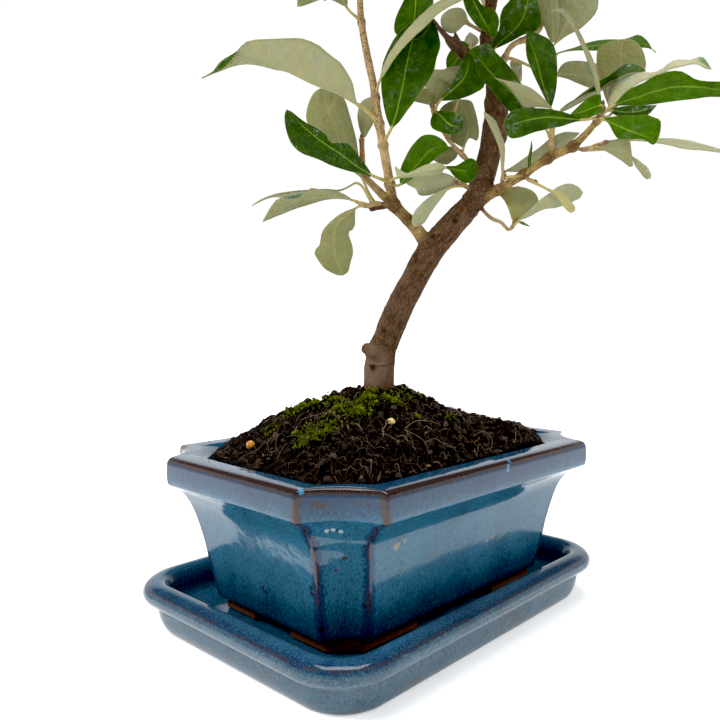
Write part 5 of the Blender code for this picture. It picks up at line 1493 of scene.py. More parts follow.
# Leaves whose outline the photograph shows, by their number in SHOOTS: the look, then the midrib
# and the two margins from base to tip, each as places in the photograph, in pixels. Left and right
# are as seen on the way to the tip. "lift" moves a margin toward the viewer (side, share,
# millimetres), "green" paints a part of the silver face as the green one (from and to share, from
# and to side), "stalk" is how stout the stalk is, and "low" roots it where the shoot starts.
FORMS = {
    "leader_shoot": {
        0: form_of("pale",
            "357,104 345,97 330,90 313,83.5 300,77 285,70.5 270,65 258,61.5 247,57.5 237,52.5 228,57 "
            "220,62 214,71 208,75 202,78",
            "357,104.5 345,98 330,91 313,84 300,78 288,72.5 275,70 262,66.5 250,64.5 240,65 230,67.5 "
            "220,71.5 213,74 207,76 202,78",
            "357,103 354.5,92 353,84 349,75.5 340,62 330,55 320,46 310,41 300,38 285,38.3 270,39 258,39.3 "
            "248,41 242,45 238,50.5 234,57 230,62 225,67 217,72 208,75.5 202,78",
            lift=[("right", 0.82, 2.2), ("left", 0.2, -2.0)], stalk=1.6),
        1: form_of("shiny",
            "371,175 360,168.5 350,161.5 340,154 330,147.5 320,140.5 312,134 303,126 295,117.5 287,109.5",
            "370,177 360,173.5 350,171.5 340,168.5 330,165 320,160 312,157 303,154 296,149 290,141 286,130 "
            "284.5,120 285,113 287,109.5",
            "371.5,174 368,168 362,160 356,152 348,143.5 340,143 332,143.5 329,142 328,138 325,134 318,129 "
            "312,126 305,122 298,117 292,112 287,109.5", lift=[("right", 0.7, -1.5)], stalk=1.25),
        3: form_of("grey", "381.5,76 388,63 396,51 405,39.5 415,29 425,19.5 436,9 447,2 460,-4 472,-8",
            "381,73 386,60 393,48 402,36 412,24 423,13 434,4 447,-3 462,-8 472,-8",
            "383,77 390,66 398,54.5 407,44 417,34 428,24 438,14 449,7 461,1 472,-8"),
        4: form_of("dark", "391.5,128 396,115 399.5,100 403,85 406,68 410,50 413,40 420,30 431,18",
            "390.5,128 386.5,118 384,108 382.3,98 381,86 381.5,74 382.5,64 388,50 396,36 408,24 420,18 "
            "431,17.5",
            "392,128.5 400,121 407,111 414,102 422,90 430,79 434.5,69 436.5,58 439.5,50 440.5,44 439,36 "
            "437,28 431,18", stalk=1.2),
        5: form_of("fresh", "400,185.5 406,177 413,169 421,160 430,150.5 438,147 448.3,147",
            "400,184 399.5,176 401,167 405,158 410,148.5 416,141 421.5,136 427,134.5 434,135 441,138.5 "
            "446,143 448.3,147",
            "401,185.5 408,182 415,176 420,170 427,165 433,161 437,156.5 443,152.5 447,150.5 448.3,147"),
        6: form_of("pale",
            "398,177.5 405,176 415,174.5 425,171.5 435,169.5 443,168 450,168.5 457,170 465,171 472,173 "
            "477,175",
            "397,177 394.5,166 399,169.5 405,173 412,171.5 420,167 428,164 438,162.5 443,165 449,169.5 "
            "454,176 459,180.5 466,183.5 472,180.5 477,175",
            "398,178 405,178 415,177 428,176 438,175 443,172 445,167 450,166 456,166 462,162.5 470,158 "
            "475.5,160.5 478,168 477,175", lift=[("left", 0.55, 1.5), ("right", 0.5, -1.5)]),
    },
    "left_side_shoot": {
        0: form_of("grey", "364,136 366,125 369,112 373,97",
                   "361,134 358.5,125 357.5,114 360,104 366,98.5 373,96.5",
            "365,138 369,131 374,122 377,112 377,103 373,96.5"),
    },
    "left_low_shoot": {
        0: form_of("grey", "352,200 340,197.5 325,197.5 310,199 295,202 285,205.5 275,211 262,222",
            "352,200.5 340,199 325,200 310,204.5 295,209 285,213 275,217 268,220 262,222",
            "352,199 345,194.5 338,191.5 328,190 318,189 313,187.5 309,189 305,193 300,197 294,199.5 "
            "287,199 280,198 275,201 270,208 266,215 262,222"),
        1: form_of("pale", "355,182.5 340,190 325,190.5 305,191 290,192.7 275,195.5 262,200 252,205.5",
            "355,183 340,191 325,194 305,196 297,198.5 287,199.5 280,197.5 270,197.5 260,201.5 252,205.5",
            "355,182 340,189.5 325,189 305,190 290,191.5 275,194 262,199 252,205.3",
            green=(0.5, 0.68, 0.35, 1)),
        2: form_of("dull", "355,208.5 348,215 339,223 335,232 334,243 335,254 338,264 343,275",
            "355.5,208.5 355,216 355,224 353,229.5 349.5,231 348.5,234 350,239 352.5,246 353,254 351,261 "
            "349.5,267 348,272 343,275.5",
            "354,208 345,211.5 336,217 328,224 322,232 320.5,240 319.5,245 315.5,249.5 314.5,254 318,260 "
            "324,268 330,272 337,275 343,275.5"),
        3: form_of("dull", "362,178 352,161 343,146 336,130 329,113 325,100 322.5,88",
            "361,178 345,165 330,150 316,136 308,124 306,117 307,109 309.5,101 313,94 318,89.5 322.5,88",
            "362.5,177 361,168 358.5,154 356.5,140 353,126 349.5,114 345.5,101 340,94 333,89.5 326,87.5 "
            "322.5,88"),
    },
    "inner_shoot": {
        0: form_of("dark", "440,100.5 446,95 452,90 459,84 465,76 468,66 469,53",
            "439,100 444,94 449,88 453,80 457,73 460,66 463,60 467,55 469,52.5",
            "441,101 455,100 466,97 475,93 484,87 484,78 480,68 475,58 469,52.5"),
        1: form_of("dark", "435,112 441,116 447,122.5 453,126 463,126",
            "436,111 442,111 449,111 456,112.7 461,116.5 463.5,121.5 463,126",
            "434,113 431.5,117 430.3,123 432.5,128.5 439,131.5 447,134 454,134.7 460,131.5 463,126"),
        3: form_of("pale", "456,78 448,80 438,83 424,86", "455,80 448,91 440,98 433,97 427,90 424,86",
            "456,76 452,69.5 440,69.5 430,71 424,86"),
        5: form_of("dull", "464,146 468,130 466,115 460,99.5",
            "463,148 452,141 441,131 437,120 441,108 450,101.5 460,99.5",
            "465,146 470,137.5 477,141 479,132 477.5,120 475,110 471,101 460,99.5"),
    },
    "low_inner_shoot": {
        0: form_of("misty", "457,180 445,180.5 430,180 415,180 404,180.5",
            "457,182 452,188 444,191 436,193 428,195.5 419,195 416,189 408,185 404,180.5",
            "456,178 445,173 430,172 415,174 404,180.5"),
        1: form_of("misty", "446,190 438,197 430,204 423,212 418,220 415,227",
            "447,191 441,199 436,205.5 430,214 425,222 420,225.5 415,227",
            "445,189 436,193 428,198 420,205 415,211 412,218 412,224 415,227"),
    },
    "right_tip_shoot": {
        0: form_of("soft",
            "600,106 599.5,95 597.5,84 594,73 590,62 586.5,53 582,43 577.5,32 573,24 568,16 563,10 556,9.5 "
            "549.5,12.5",
            "598,106 597,95 594.5,84 591,73 587.5,62 585,54 580,43 575,32 570,24 565,17 560,12 555,11 "
            "549.5,12.5",
            "601,106 600.5,95 600,84 598,76 595,65 591,55 586,45 581.5,35 577,27 572,18 566,10 557,8 "
            "549.5,12.5", green=(0.22, 0.5, 0.1, 1)),
        1: form_of("olive", "612.5,112 616,95 619,80 620.5,65 621,50 623,39.3",
            "611,112 606,100 602,88 599.5,78 597,67 596.5,58 597.5,50 601,46 607,42.5 615,40.3 623,39.3",
            "614,112 622,100 630,90 638,80 645,70 646,62 644,54 641,47 636,42 630,39.5 623,39.3"),
        2: form_of("fresh", "602,105 592,108 582,112 570,114.5",
                   "601,113 592,116.5 584,119.8 577,118 570,114.5",
            "601,95 596,94.5 590,97 583,102 576,108.5 570,114.5"),
        3: form_of("pale",
            "609.5,107 616,98 624,90 634,84 644,79 655,75 665,70 675,65 686,62.5 696,61 704,63.5 711,69.5",
            "608,107 608,98 607,89 613,83 621,79 631,75 641,72.5 651,73 659,70.5 665,66.5 670,62.5 676,60 "
            "683,59.3 690,60.3 697,57.5 702,57 706,60.5 711,69.5",
            "611,107.5 616,103 621,96.5 627,91 634,86 642,81.5 652,77.5 661,74 670,69.5 680,66.7 690,64.3 "
            "698,64.5 705,68 711,69.5", green=(0.87, 1.0, -0.5, 1)),
        4: form_of("fresh",
            "613,105.5 625,101 640,96.5 650,92.5 660,90 670,87.5 683,86.5 700,87 715,89 730,90.5 748,90.5",
            "613,105 621,97 628,90 636,86 645,82 652,77 660,74 668,71.5 677,70.7 684,72 690,76 696,79.5 "
            "705,81 713,81.3 722,81.5 735,84 748,90.5",
            "614,106 625,105.5 640,105.5 652,104.5 665,102.5 680,100.5 695,99 708,97 722,97 735,95 "
            "748,90.5"),
        5: form_of("dark", "611,110 625,112 640,111 657,105", "611,109 625,106 640,105.5 657,105",
            "613,114 625,118 640,117 649,114 657,105"),
        6: form_of("fresh", "603,119.5 612,123 621,127 630,131 640,134.5 648,138 655,143.5",
            "604,118 612,116.8 620,115.5 630,115.3 640,115.2 648,114.7 653,117 659,119 661,122 661,127 "
            "660,133 658,139 655,144",
            "603,121 607,122 610,126 613,132 617,138 622,139.5 630,139.3 638,139 643,139.5 648,142 "
            "652,144.7 655,144"),
        7: form_of("dark", "582,120 572,119 562,118 552,117 542,117.5 530,119.5 517,123 503.5,127",
            "582,121 575,122 570,123.5 563,126 556,127.5 550,128.5 542,130.5 535,132 527,135 520,137.5 "
            "512,138.5 508,136 505,131 503.5,127",
            "580,118.5 575,116 570,114.3 562,111.5 553,109.7 545,108.5 535,108 525,108.3 517,109.5 "
            "511,111.5 507,116 504.5,121 503.5,127"),
    },
    "right_mid_shoot": {
        0: form_of("yellow", "549,190 556,193.5 562,198.5 567,204 571,212.8",
            "550,190 557,190.5 563,193 568,197.5 572,202.5 575,207 574.5,211 571,213",
            "550,191 555,195 559,200.5 563,206 567,210.5 571,213"),
    },
    "right_upright_shoot": {
        0: form_of("dark", "550,108 547,96 543,85 540,74 537,62 533,50 529,40 526.5,31.5",
            "549.5,107 546,100 541,90 537,82 533,73 530,66 527,58 526,48 526,38 526.5,31.5",
            "551,108 554,99 556,90 557,80 557.5,70 557,60 556,52 553,44 549,39 543,36 536,33 531,31 "
            "526.5,31.5"),
        1: form_of("soft", "549.5,107 541,104 532,100 523,95 514,88.5 505,82.5 494,78",
            "549,108.5 540,107.3 532,107 525.5,107.5 520,102 515,95 509,88 504,83 499,80.5 494,78",
            "550,106 546,100.5 540,95 534,90 528,86.5 521,84 514,82 506,80.5 500,79 494,78", low=True),
        2: form_of("dark", "541,123 532,116 524,108 515,96 505,86 497,79 485,66 478,57 469,52",
            "540,124 520,118 508,110 500,101 492,90.5 484,82.5 478,74 475.5,66 474,60 472,55.5 469,52",
            "542,120 535,108 529,96 521,83 515,73 509,66 503,59 497,53.5 492,48 489,44 482,44.5 476,46 "
            "472,48.5 469,52", low=True),
        3: form_of("fresh", "560.5,111 570,107.3 580,101.8 590,96.3 599,91.5 608,85 618,79 630,73.5 646,70.7",
            "561,109 566,105 574,99.5 583,92.5 592,86.5 600,80.5 608,76 616,70 622,65.5 628,63 634,63.7 "
            "641,66.3 646,70.7",
            "560.5,109.5 568,103.5 577,98.5 588,93 599,89.5 608,83 618,77.7 630,72.3 646,70.7",
            low=True, lift=[("right", 0.5, 1.2)]),
    },
    "right_side_shoot": {
        0: form_of("grey", "600,147.5 612,149 622,150.5 628,155 633,166",
            "600,146 610,141 620,140 629,140 631,146 631.5,152 632.5,160 633,166",
            "601,149 607,152 614,156 621,160.5 627,165 630,167 633,166"),
        1: form_of("pale", "631.5,156.5 638,163 643,169 647,175 648,179",
            "632,156.5 637,159 641,162 646,166 649,170 651,175 650.5,178.5 648,179",
            "632,157 633,161 636,167 640,172 643,176.5 646,179 648,179"),
        2: form_of("pale", "617,140.3 640,140 656,140.5 672,142 690,145.2 710,148.8 735,152.5",
            "617,139.5 635,139 650,139 660,138.3 672,138.5 682,139.7 692,141 700,143.5 710,146 720,149 "
            "735,152.5",
            "617,141 640,141 656,143 670,145.5 680,148 690,149.5 700,150.3 710,151.2 720,152.5 735,152.5"),
    },
    "right_base_shoot": {
        0: form_of("misty", "506,171 520,166 535,158.5 550,149 565,139.5 580,133",
            "506,170 512,166.5 520,161 530,154 540,147 548,140 557,134.5 565,132 573,132 580,133",
            "507,171.5 515,172 523,171.5 535,166 545,160 555,152 565,146 573,140 580,133"),
        1: form_of("soft", "502.5,169 502,155 500.5,144 496,133 491,123 483.5,113",
            "501,169 500.5,158 499,148 496,140 492,131 488,123 485,117 483.5,113",
            "504,168 505,155 505,147 503.5,140 500,132 499,128 495,120 490,115.5 485.5,112.5 483.5,113"),
    },
    "right_hanging_shoot": {
        0: form_of("khaki", "513.5,221 517,208 519,197 518,186.3",
            "512,220 508,208 504,200 500,195 503,190 510,187.5 518,186.3",
            "515,221 522,219.5 530,214 536,206 538.5,200 536,194.5 532,190.5 526,188 518,186.3"),
        1: form_of("misty", "521,218 532,210.5 545,203 558,196.5 570,192.5 583,192",
            "520,217 527,212 533,206 539,200.5 545,196 550,193 556,188 562,185 569,183.5 575,185 580,188.5 "
            "583,193",
            "522,219.5 530,216.5 538,212 546,209 555,208 562,206 570,203 575,200.5 580,198 583,193"),
        2: form_of("dark", "517,221.5 523,223 530,226.5", "517,221 523,221.7 530,226.3",
                   "517,222 523,224.8 530,226.7"),
    },
    "upper_left_shoot": {
        0: form_of("pale", "468,21 460,20.5 450,20 440.5,20",
            "468,23 463,26 459,30 454,33 449,33 444,30 441,25 440.5,20",
            "468,19 466,13 463,9 457,7.5 450,9 445,12 441.5,16 440.5,20"),
    },
    "crown_left_shoot": {
        0: form_of("dark", "430,-42 424,-25 419,-10 416,0 415,15 413,28 410,39.5",
            "432,-41 435,-25 434,-5 433,5 432,12 431,20 428,29 423,35 419,39 410,39.5",
            "428,-42 416,-28 408,-12 404,0 400,8 396,17 394,26 395,33 400,37 410,39.5"),
        1: form_of("dark", "466,-22 470,-8 476,6 482,18 488,28 493,38.5",
            "470,-22 475,-8 479,1 484,6.5 491,8 496,12 498.8,18 499,25 496.5,33 493,38.5",
            "465,-21 461,-10 463,0 466,10 471,18.5 478,27 485,31.5 490,36 493,38.5"),
    },
    "upper_right_shoot": {
        0: form_of("dark", "494,48.5 503,40 512,32 520,23 525,12 528,0 531,-14 532,-27",
            "493,48 492,42 496,36 499.5,27 500,17 503,8 509,1 515,-8 523,-18 532,-27",
            "496,48.5 504,45 513,40.5 524,34.5 533,32.5 539.5,28 541.5,20 540,10 537,0 536,-12 532,-27"),
        1: form_of("dull", "546,-62 548,-40 549,-20 550,0 552,20 553,43",
            "549,-62 555,-45 557,-25 557,-5 559,10 559.5,20 558.5,30 556.5,38 553,43",
            "544,-62 536,-45 533,-25 534,-5 537.5,8 541.5,20 546,31 549,38 553,43"),
        2: form_of("grey", "555,44.5 562,30 568,18 574,0 582,-25 594,-62",
            "554,43.5 556,30 557,15 556,0 559,-20 570,-45 594,-62",
            "556,44 565,37 572,33 580,29 587,23 593,17 597,11 598.5,4 598.5,-8 601,-25 602,-45 594,-62"),
        3: form_of("fresh", "557,54 570,50 585,47 600,45 615,44.5 630,43 640,42.5 648,46 656,52.5",
            "557,53.5 565,50.5 575,47.5 585,43.5 592,41.5 600,40 608,39.3 616,39.5 625,39 631,37 635,35 "
            "638,34.5 642,36 647,40.5 650,45 652,49 656,52.5",
            "557,54.5 566,51.7 578,50.5 590,50.7 600,50.5 612,50 625,50 635,49 641,47.7 647,48 652,49.5 "
            "656,52.5"),
        4: form_of("dull", "557,75.5 570,75.3 585,77 600,78 613,77.5",
            "557,74 560,67 566,62 575,60.7 585,61.5 595,63 606,68 613,77.5",
            "557,76.5 566,78.5 576,82.5 588,87.5 598,88 607,84 613,77.5"),
        5: form_of("grey", "521,80 517,70 515,59.5", "519,80 513,71 510,65 511,61 515,59.5",
            "522,79 522,70 521.5,63 518,60 515,59.5"),
    },
}
# Two small leaves more, that the photograph shows beside those of the CAD
MORE_LEAVES = [
    ("inner_shoot", (6, 5, 4), 170, form_of("dull", "432,105 425,99 414,101.5", "433,106 425,104 414,101.5",
        "433,104 431.5,95 428,89.5 423,88.5 417,95 414,101.5")),
    ("right_base_shoot", (10, 10, 11), 30,
     form_of("dark", "529,171 529.7,158 531.7,141", "528,171 528,158 530.7,147 531.7,141",
        "530.2,171 531.2,158 532.4,147 531.7,141")),
]
# Each look: how light the silver face is, how far it turns to olive (or, below 0, to a bluish
# grey), and how light the green face is
LOOKS = {
    "": (None, None, None), "pale": (0.95, 0.0, 0.25), "soft": (0.72, 0.05, 0.3), "grey": (0.45, 0.1, 0.25),
    "dull": (0.14, 0.3, 0.3),
    "olive": (0.1, 0.75, 0.3), "khaki": (0.50, 0.85, 0.4), "yellow": (1.0, 0.8, 0.5),
    "misty": (0.85, -0.25, 0.3),
    "dark": (0.2, 0.0, 0.2), "fresh": (0.6, 0.0, 0.6), "shiny": (0.1, 0.0, 0.05),
}
COLUMNS = [-1, -0.86, -0.66, -0.44, -0.24, -0.1, -0.035, 0, 0.035, 0.1, 0.24, 0.44, 0.66, 0.86, 1]
STATIONS = 32
LEAF_THICKNESS = 0.40
PIXEL = 0.39             # about how many millimetres a pixel of the photograph shows
WETNESS = {"shiny": 0.85, "dark": 0.55, "fresh": 0.3}       # how much of a look's upper face is wet


def curve_of(text):
    """A smooth curve through places of the photograph, and its running lengths."""
    path = smooth_path([Vector((x, y, 0)) for x, y in places_of(text)], 6)
    return path, along(path)


def formed_stations(form, depths, turn, shares):
    """For each share of a seen leaf: midrib, minus and plus margins, as world points."""
    rib, left, right = (curve_of(form[key]) for key in ("rib", "left", "right"))
    under = 90 < turn < 270
    steep = max(-2.0, min(2.0, math.tan(math.radians(turn))))
    base, middle, tip = depths
    bend = 2 * middle - (base + tip) / 2
    for share in shares:
        flat, ahead = point_on(rib[0], rib[1], rib[1][-1] * share)
        depth = base * (1 - share) ** 2 + 2 * bend * share * (1 - share) + tip * share ** 2
        point = seen(flat.x, flat.y, depth)
        ends = {}
        for key, (path, runs) in (("left", left), ("right", right)):
            spot = point_on(path, runs, runs[-1] * share)[0]
            out = (spot - flat) * PIXEL
            aside = out.x * -ahead.y + out.y * ahead.x        # to the right of the way to the tip
            push = -steep * aside + BLADE_FOLD * out.length * (-0.8 if under else 0.8)
            for side, centre, rise in form.get("lift", ()):
                if side == key:
                    push += rise * math.exp(-((share - centre) / 0.16) ** 2)
            ends[key] = seen(spot.x, spot.y, depth + push)
        yield point, ends["right" if under else "left"], ends["left" if under else "right"]


def ruled_stations(blade, shares, draw):
    """The same for a leaf that only its frame and width describe, with waves of its own."""
    fold = BLADE_FOLD * draw.uniform(0.6, 1.4)
    waves = [[(draw.uniform(1.5, 4.5), draw.uniform(0, 6.28), draw.uniform(0.03, 0.10)) for k in (0, 1)]
             for side in (0, 1)]
    uneven = [draw.uniform(-0.06, 0.06) for side in (0, 1)]
    curl = draw.uniform(-0.05, 0.12)
    for share in shares:
        point, ahead, side, upper = blade_frame(blade, share)
        length = (blade["tip"] - blade["base"]).length
        half = max(half_width(share, blade["width"], blade["widest"]), 0.45 * MM * ease(0.09, 0.0, share),
                   0.02 * MM)
        point = point + upper * (curl * length * (share - 0.5) ** 3 * 2)
        ends = []
        for k, way in ((0, -1), (1, 1)):
            ripple = sum(size * math.sin(math.pi * count * share + phase) for count, phase, size in waves[k])
            wide = half * (1 + uneven[k] * math.sin(math.pi * share) + 0.5 * ripple)
            ends.append(point + side * (way * wide) + upper * (half * (fold + ripple)))
        yield point, ends[0], ends[1]


def add_blade(skin, blade, draw):
    """A fine leaf between its midrib and margins: curved, ribbed, and thin at the edge."""
    shares = [0.0] + [0.5 - 0.5 * math.cos(math.pi * (0.04 + 0.96 * k / STATIONS))
                      for k in range(1, STATIONS + 1)]
    form = blade.get("form")
    if form:
        rows = list(formed_stations(form, blade["depths"], blade["turn"], shares))
    else:
        rows = list(ruled_stations(blade, shares, draw))
    look = form["look"] if form else blade["look"]
    tone, tint, green_tone = LOOKS[look]
    if tone is None:
        tone, tint = min(max(draw.gauss(0.45, 0.22), 0.0), 1.0), draw.random() ** 4 * 0.4
        green_tone = min(max(draw.gauss(0.38, 0.2), 0.0), 1.0)
    bulge = draw.uniform(0.03, 0.10)
    patch = form.get("green") if form else None
    count = len(COLUMNS)
    tops, lows, lu, lv, rib, green = [], [], [], [], [], []
    flat = [[point.lerp(minus if v < 0 else plus, abs(v)) for v in COLUMNS] for point, minus, plus in rows]
    ups = []
    for k, line in enumerate(flat):
        ups.append([])
        for j in range(count):
            aside = line[min(j + 1, count - 1)] - line[max(j - 1, 0)]
            ahead = flat[min(k + 1, STATIONS)][j] - flat[max(k - 1, 0)][j]
            up = aside.cross(ahead)
            if aside.length > 0.02 * MM and up.length > 0:
                ups[k].append(up.normalized())
            else:
                ups[k].append(ups[k - 1][j] if k else Vector((0, 0, 1)))
    ups[0] = ups[1]
    for k, (point, minus, plus) in enumerate(rows):
        share = shares[k]
        for j, v in enumerate(COLUMNS):
            reach = abs(v)
            half = ((minus if v < 0 else plus) - point).length
            up = ups[k][j]
            spot = flat[k][j] - up * (half * bulge * 4 * reach * (1 - reach))
            spot = spot + up * (0.16 * MM * noise.noise(spot * 260) * min(1.0, half / (2 * MM)))
            away = reach * half / MM
            groove = 0.12 * math.exp(-(away / 0.32) ** 2) * ease(1.0, 0.6, share)
            ridge = blend(0.40, 0.08, share) * math.exp(-(away / 0.40) ** 2)
            body = LEAF_THICKNESS * MM * blend(1.0, 0.4, reach ** 3)
            tops.append(spot + up * (body / 2 - groove * MM))
            lows.append(spot - up * (body / 2 + ridge * MM))
            lu.append(share)
            lv.append(v)
            rib.append(away)
            green.append(0.0)
            if patch:
                start, end, low, high = patch
                green[-1] = (ease(start - 0.03, start + 0.03, share) * ease(end + 0.03, end - 0.03, share)
                             * ease(low - 0.1, low + 0.05, v) * ease(high + 0.1, high - 0.05, v))
    total = len(tops)
    faces, marks = [], []
    for k in range(STATIONS):
        for j in range(count - 1):
            a, b, c, d = k * count + j, k * count + j + 1, (k + 1) * count + j + 1, (k + 1) * count + j
            faces.append((a, b, c, d))
            faces.append((total + a, total + d, total + c, total + b))
            marks.extend((1, 2))
        for j, flip in ((0, True), (count - 1, False)):
            a, b = k * count + j, (k + 1) * count + j
            quad = (a, b, total + b, total + a)
            faces.append(tuple(reversed(quad)) if flip else quad)
            marks.append(2)
    for row, flip in ((0, False), (STATIONS, True)):
        for j in range(count - 1):
            a, b = row * count + j, row * count + j + 1
            quad = (a, total + a, total + b, b)
            faces.append(tuple(reversed(quad)) if flip else quad)
            marks.append(2)
    skin.add(tops + lows, faces, marks, lu=lu + lu, lv=lv + lv, rib=rib + rib,
             tone=[green_tone] * total + [tone] * total,
             tint=tint, green=green + green, wet=WETNESS.get(look, 0.25))


def dress_leaves(leaves):
    """Gives the planned leaves the forms that the photograph shows, and adds the two small ones."""
    for name, forms in FORMS.items():
        for number, form in forms.items():
            row = SHOOTS[name]["leaves"][number]
            give_form(name, leaves[name][number], form, [place[2] for place in row[:3]], row[4])
    for name, depths, turn, form in MORE_LEAVES:
        leaves[name].append({})
        give_form(name, leaves[name][-1], form, depths, turn)


def give_form(name, blade, form, depths, turn):
    start, second = map(Vector, places_of(form["rib"])[:2])
    path = shoot_path(name)
    base, ahead = seen(*start, depths[0]), seen(*second, blend(depths[0], depths[1], 0.3))
    lowest = (SHOOTS[name]["spur"] + 1.2) * MM
    if form.get("low"):
        root, growing = point_on(path, along(path), lowest)
    else:
        root, growing = stalk_root(path, along(path), base, lowest)
    blade.update(form=form, depths=depths, turn=turn, root=root, growing=growing, base=base,
                 start=(ahead - base).normalized())


def add_stalk(skin, blade):
    """A leaf's stalk: out of the shoot at a slant and into the midrib."""
    ahead = blade["start"] if "start" in blade else blade_frame(blade, 0.0)[1]
    reach = (blade["base"] - blade["root"]).length
    out = (blade["base"] - blade["root"]).normalized()
    start = (out * 0.8 + blade["growing"] * 0.35).normalized()
    path = interpolate_bezier(blade["root"], blade["root"] + start * reach / 3,
                              blade["base"] - ahead * reach / 3, blade["base"] + ahead * 1.2 * MM, 10)
    stout = (blade.get("form") or {}).get("stalk", 1.0)
    radii = [blend(0.78, 0.48, min(k / 5, 1)) * stout * MM for k in range(10)]
    radii[-1] = 0.2 * MM
    add_tube(skin, path, radii, 8, 0, stalk=0.85,
             wood=[0.6 * (1 - k / 3) if k < 3 else 0.0 for k in range(10)])


def add_bud(skin, place, way, size):
    """A pointed bud in a leaf's axil."""
    path = [place + way * size * MM * t for t in (0, 0.35, 0.8, 1.3, 1.8, 2.1)]
    add_tube(skin, path, [size * MM * r for r in (0.5, 0.72, 0.75, 0.55, 0.25, 0.05)], 8, 0, bud=1.0)


def make_shoot(name, blades, paints):
    draw = random.Random(SEED * 7 + len(name) * 13 + sum(map(ord, name)))
    path = shoot_path(name)
    length = along(path)[-1]
    start = SHOOTS[name]["spur"] * MM - 0.4 * MM
    pieces = max(6, round((length - start) / (0.9 * MM)))
    points, radii = shoot_stretch(name, start, length, pieces)
    roots = [blade["root"] for blade in blades]
    scaly, wood, warm = [], [], []
    for k, point in enumerate(points):
        swell = max((math.exp(-((point - root).length / (1.1 * MM)) ** 2) for root in roots), default=0.0)
        radii[k] = radii[k] * (0.93 + 0.30 * swell) * (1 + 0.06 * noise.noise(point * 350))
        scaly.append(1.0 if name == "leader_shoot" and point.z > SCALY_ABOVE * MM else 0.55)
        wood.append(max(0.0, 0.6 * (1 - k / 5)) if k < 5 else 0.4 * swell)
        warm.append(ORANGE.get(name, 0.0) * ease(0.1, 0.5, k / len(points)))
    radii[-1] *= 0.55
    skin = Skin()
    add_tube(skin, points, radii, 12, 0, scaly=scaly, wood=wood, warm=warm)
    for blade in blades:
        add_stalk(skin, blade)
        out = (blade["base"] - blade["root"]).normalized()
        way = (blade["growing"] * 1.0 + out * 0.75).normalized()
        add_bud(skin, blade["root"] + way * 0.5 * MM, way, draw.uniform(0.75, 1.05))
        add_blade(skin, blade, draw)
    ahead = heading(points, len(points) - 1)
    add_bud(skin, points[-1] - ahead * 0.4 * MM, ahead, 1.0)
    return finish_piece(skin.build(name + "_fine", paints, 40, False), "leaf", name)


# ---------------------------------------------------------------- stage
# Soft boxes, each side one with its bright middle, which is all of it that glosses show: place in
# the front frame, size and power in watts, and whether glosses show it
LIGHTS = [
    ("soft_left", -0.72, 0.35, 0.85, 0.46, 6.0, False), ("bright_left", -0.72, 0.35, 0.85, 0.26, 4.5, True),
    ("soft_right", 0.75, 0.30, 0.80, 0.45, 2.0, False), ("bright_right", 0.75, 0.30, 0.80, 0.26, 3.5, True),
    ("soft_top", 0.0, -0.10, 1.10, 0.80, 11.0, True),
]
LIGHT_AIM = (0, 0, 0.12)
FLOOR_HALF = 6
# From two distances or heights to two strengths: the floor's own glow, and the surround's
FLOOR_GLOW, SURROUND_GLOW = (0.25, 1.1, 0.26, 0.95), (0.42, 0.55, 1.03, 0.10)


def area_light(name, place, aim, size, power, seen_in_gloss):
    data = bpy.data.lights.new(name, "AREA")
    data.shape = "RECTANGLE"
    data.size, data.size_y = size
    data.energy = power
    light = in_scene(name, data)
    light.location = place
    light.visible_glossy = seen_in_gloss
    light.rotation_euler = (Vector(aim) - Vector(place)).to_track_quat("-Z", "Y").to_euler()


def ramp(tree, source, goal, values, kind="LINEAR"):
    """Links a source to a goal through a map from two values to two others."""
    node = tree.nodes.new("ShaderNodeMapRange")
    node.interpolation_type = kind
    for k, value in enumerate(values):
        node.inputs[k + 1].default_value = value
    tree.links.new(source, node.inputs[0])
    tree.links.new(node.outputs[0], goal)


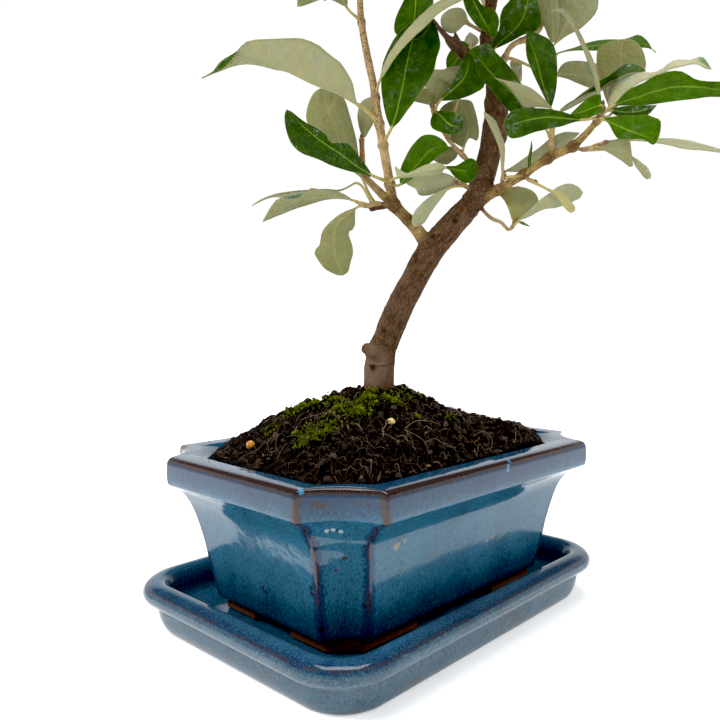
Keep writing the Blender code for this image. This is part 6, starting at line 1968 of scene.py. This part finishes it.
def make_stage():
    scene = bpy.context.scene
    data = bpy.data.cameras.new("camera")
    data.lens, data.sensor_width, data.sensor_fit = CAMERA_LENS, SENSOR_WIDTH, "HORIZONTAL"
    data.shift_x, data.clip_start = CAMERA_SHIFT_X, 0.01
    camera = in_scene("camera", data)
    camera.location = CAMERA_PLACE
    camera.rotation_euler = CAMERA_BACK.to_track_quat("Z", "Y").to_euler()
    scene.camera = camera
    scene.view_settings.view_transform = "Standard"
    scene.view_settings.look = "None"
    scene.view_settings.use_curve_mapping = True
    scene.view_settings.curve_mapping.black_level = (0.012, 0.012, 0.012)

    mesh = bpy.data.meshes.new("floor")
    mesh.from_pydata([(x * FLOOR_HALF, y * FLOOR_HALF, 0) for x, y in CORNERS], [], [(0, 1, 2, 3)])
    floor = in_scene("floor", mesh)
    floor.location.z = -0.02 * MM
    white = bpy.data.materials.new("floor_white")
    white.use_nodes = True
    shader = white.node_tree.nodes["Principled BSDF"]
    shader.inputs["Base Color"].default_value = (0.96, 0.96, 0.96, 1)
    shader.inputs["Emission Color"].default_value = (1, 1, 1, 1)
    # the sweep is lit evenly to the horizon, beyond the reach of the soft boxes
    tree = white.node_tree
    spot = tree.nodes.new("ShaderNodeTexCoord")
    away = tree.nodes.new("ShaderNodeVectorMath")
    away.operation = "LENGTH"
    tree.links.new(spot.outputs["Object"], away.inputs[0])
    ramp(tree, away.outputs["Value"], shader.inputs["Emission Strength"], FLOOR_GLOW)
    shader.inputs["Roughness"].default_value = 0.9
    shader.inputs["Specular IOR Level"].default_value = 0.1
    mesh.materials.append(white)

    # A white surround up to above the picture, dimmer overhead so that the soft boxes shape the tree
    world = bpy.data.worlds.new("studio")
    world.use_nodes = True
    tree = world.node_tree
    glow = tree.nodes["Background"]
    glow.inputs["Color"].default_value = (1, 1, 1, 1)
    way = tree.nodes.new("ShaderNodeTexCoord")
    parts = tree.nodes.new("ShaderNodeSeparateXYZ")
    tree.links.new(way.outputs["Generated"], parts.inputs[0])
    ramp(tree, parts.outputs[2], glow.inputs["Strength"], SURROUND_GLOW, "SMOOTHSTEP")
    scene.world = world
    for name, across, toward, up, size, power, seen_in_gloss in LIGHTS:
        place = ACROSS * across + TOWARD * toward + Vector((0, 0, up))
        area_light(name, place, LIGHT_AIM, (size, size), power, seen_in_gloss)


# ---------------------------------------------------------------- build
make_stage()
make_saucer(glaze_paint("saucer_glaze"))
make_pot()
make_soil(soil_paint())
make_crumbs(litter_paint("crumb", (0.0018, 0.0016, 0.0015), (0.066, 0.043, 0.030), 0.95))
make_fibres(litter_paint("fibre", (0.008, 0.0048, 0.0032), (0.36, 0.245, 0.150)))
make_chips(litter_paint("chip", (0.030, 0.016, 0.008), (0.20, 0.13, 0.060)))
make_moss(moss_paint())
make_trunk(bark_paint())
LEAF_PAINTS = [stem_paint(), leaf_top_paint(), leaf_under_paint()]
LEAVES = plan_leaves()
dress_leaves(LEAVES)
for shoot_name, shoot_blades in LEAVES.items():
    make_shoot(shoot_name, shoot_blades, LEAF_PAINTS)

PRILLS = {
    "fertiliser_pellet_1": prill_paint("amber_prill", (0.30, 0.12, 0.012), (0.60, 0.31, 0.035)),
    "fertiliser_pellet_2": prill_paint("pale_prill", (0.22, 0.13, 0.035), (0.60, 0.47, 0.20)),
}
plastic = Paint("mesh_plastic", roughness=0.5)
plastic.colour = plastic.mix(plastic.noise(0.5), (0.012, 0.012, 0.012), (0.03, 0.03, 0.03))
for node_name, node_object in frame["nodes"].items():
    if node_name.startswith(("fertiliser", "drain_mesh")):
        node_object.data.materials.clear()
        node_object.data.materials.append(PRILLS.get(node_name) or plastic.done())
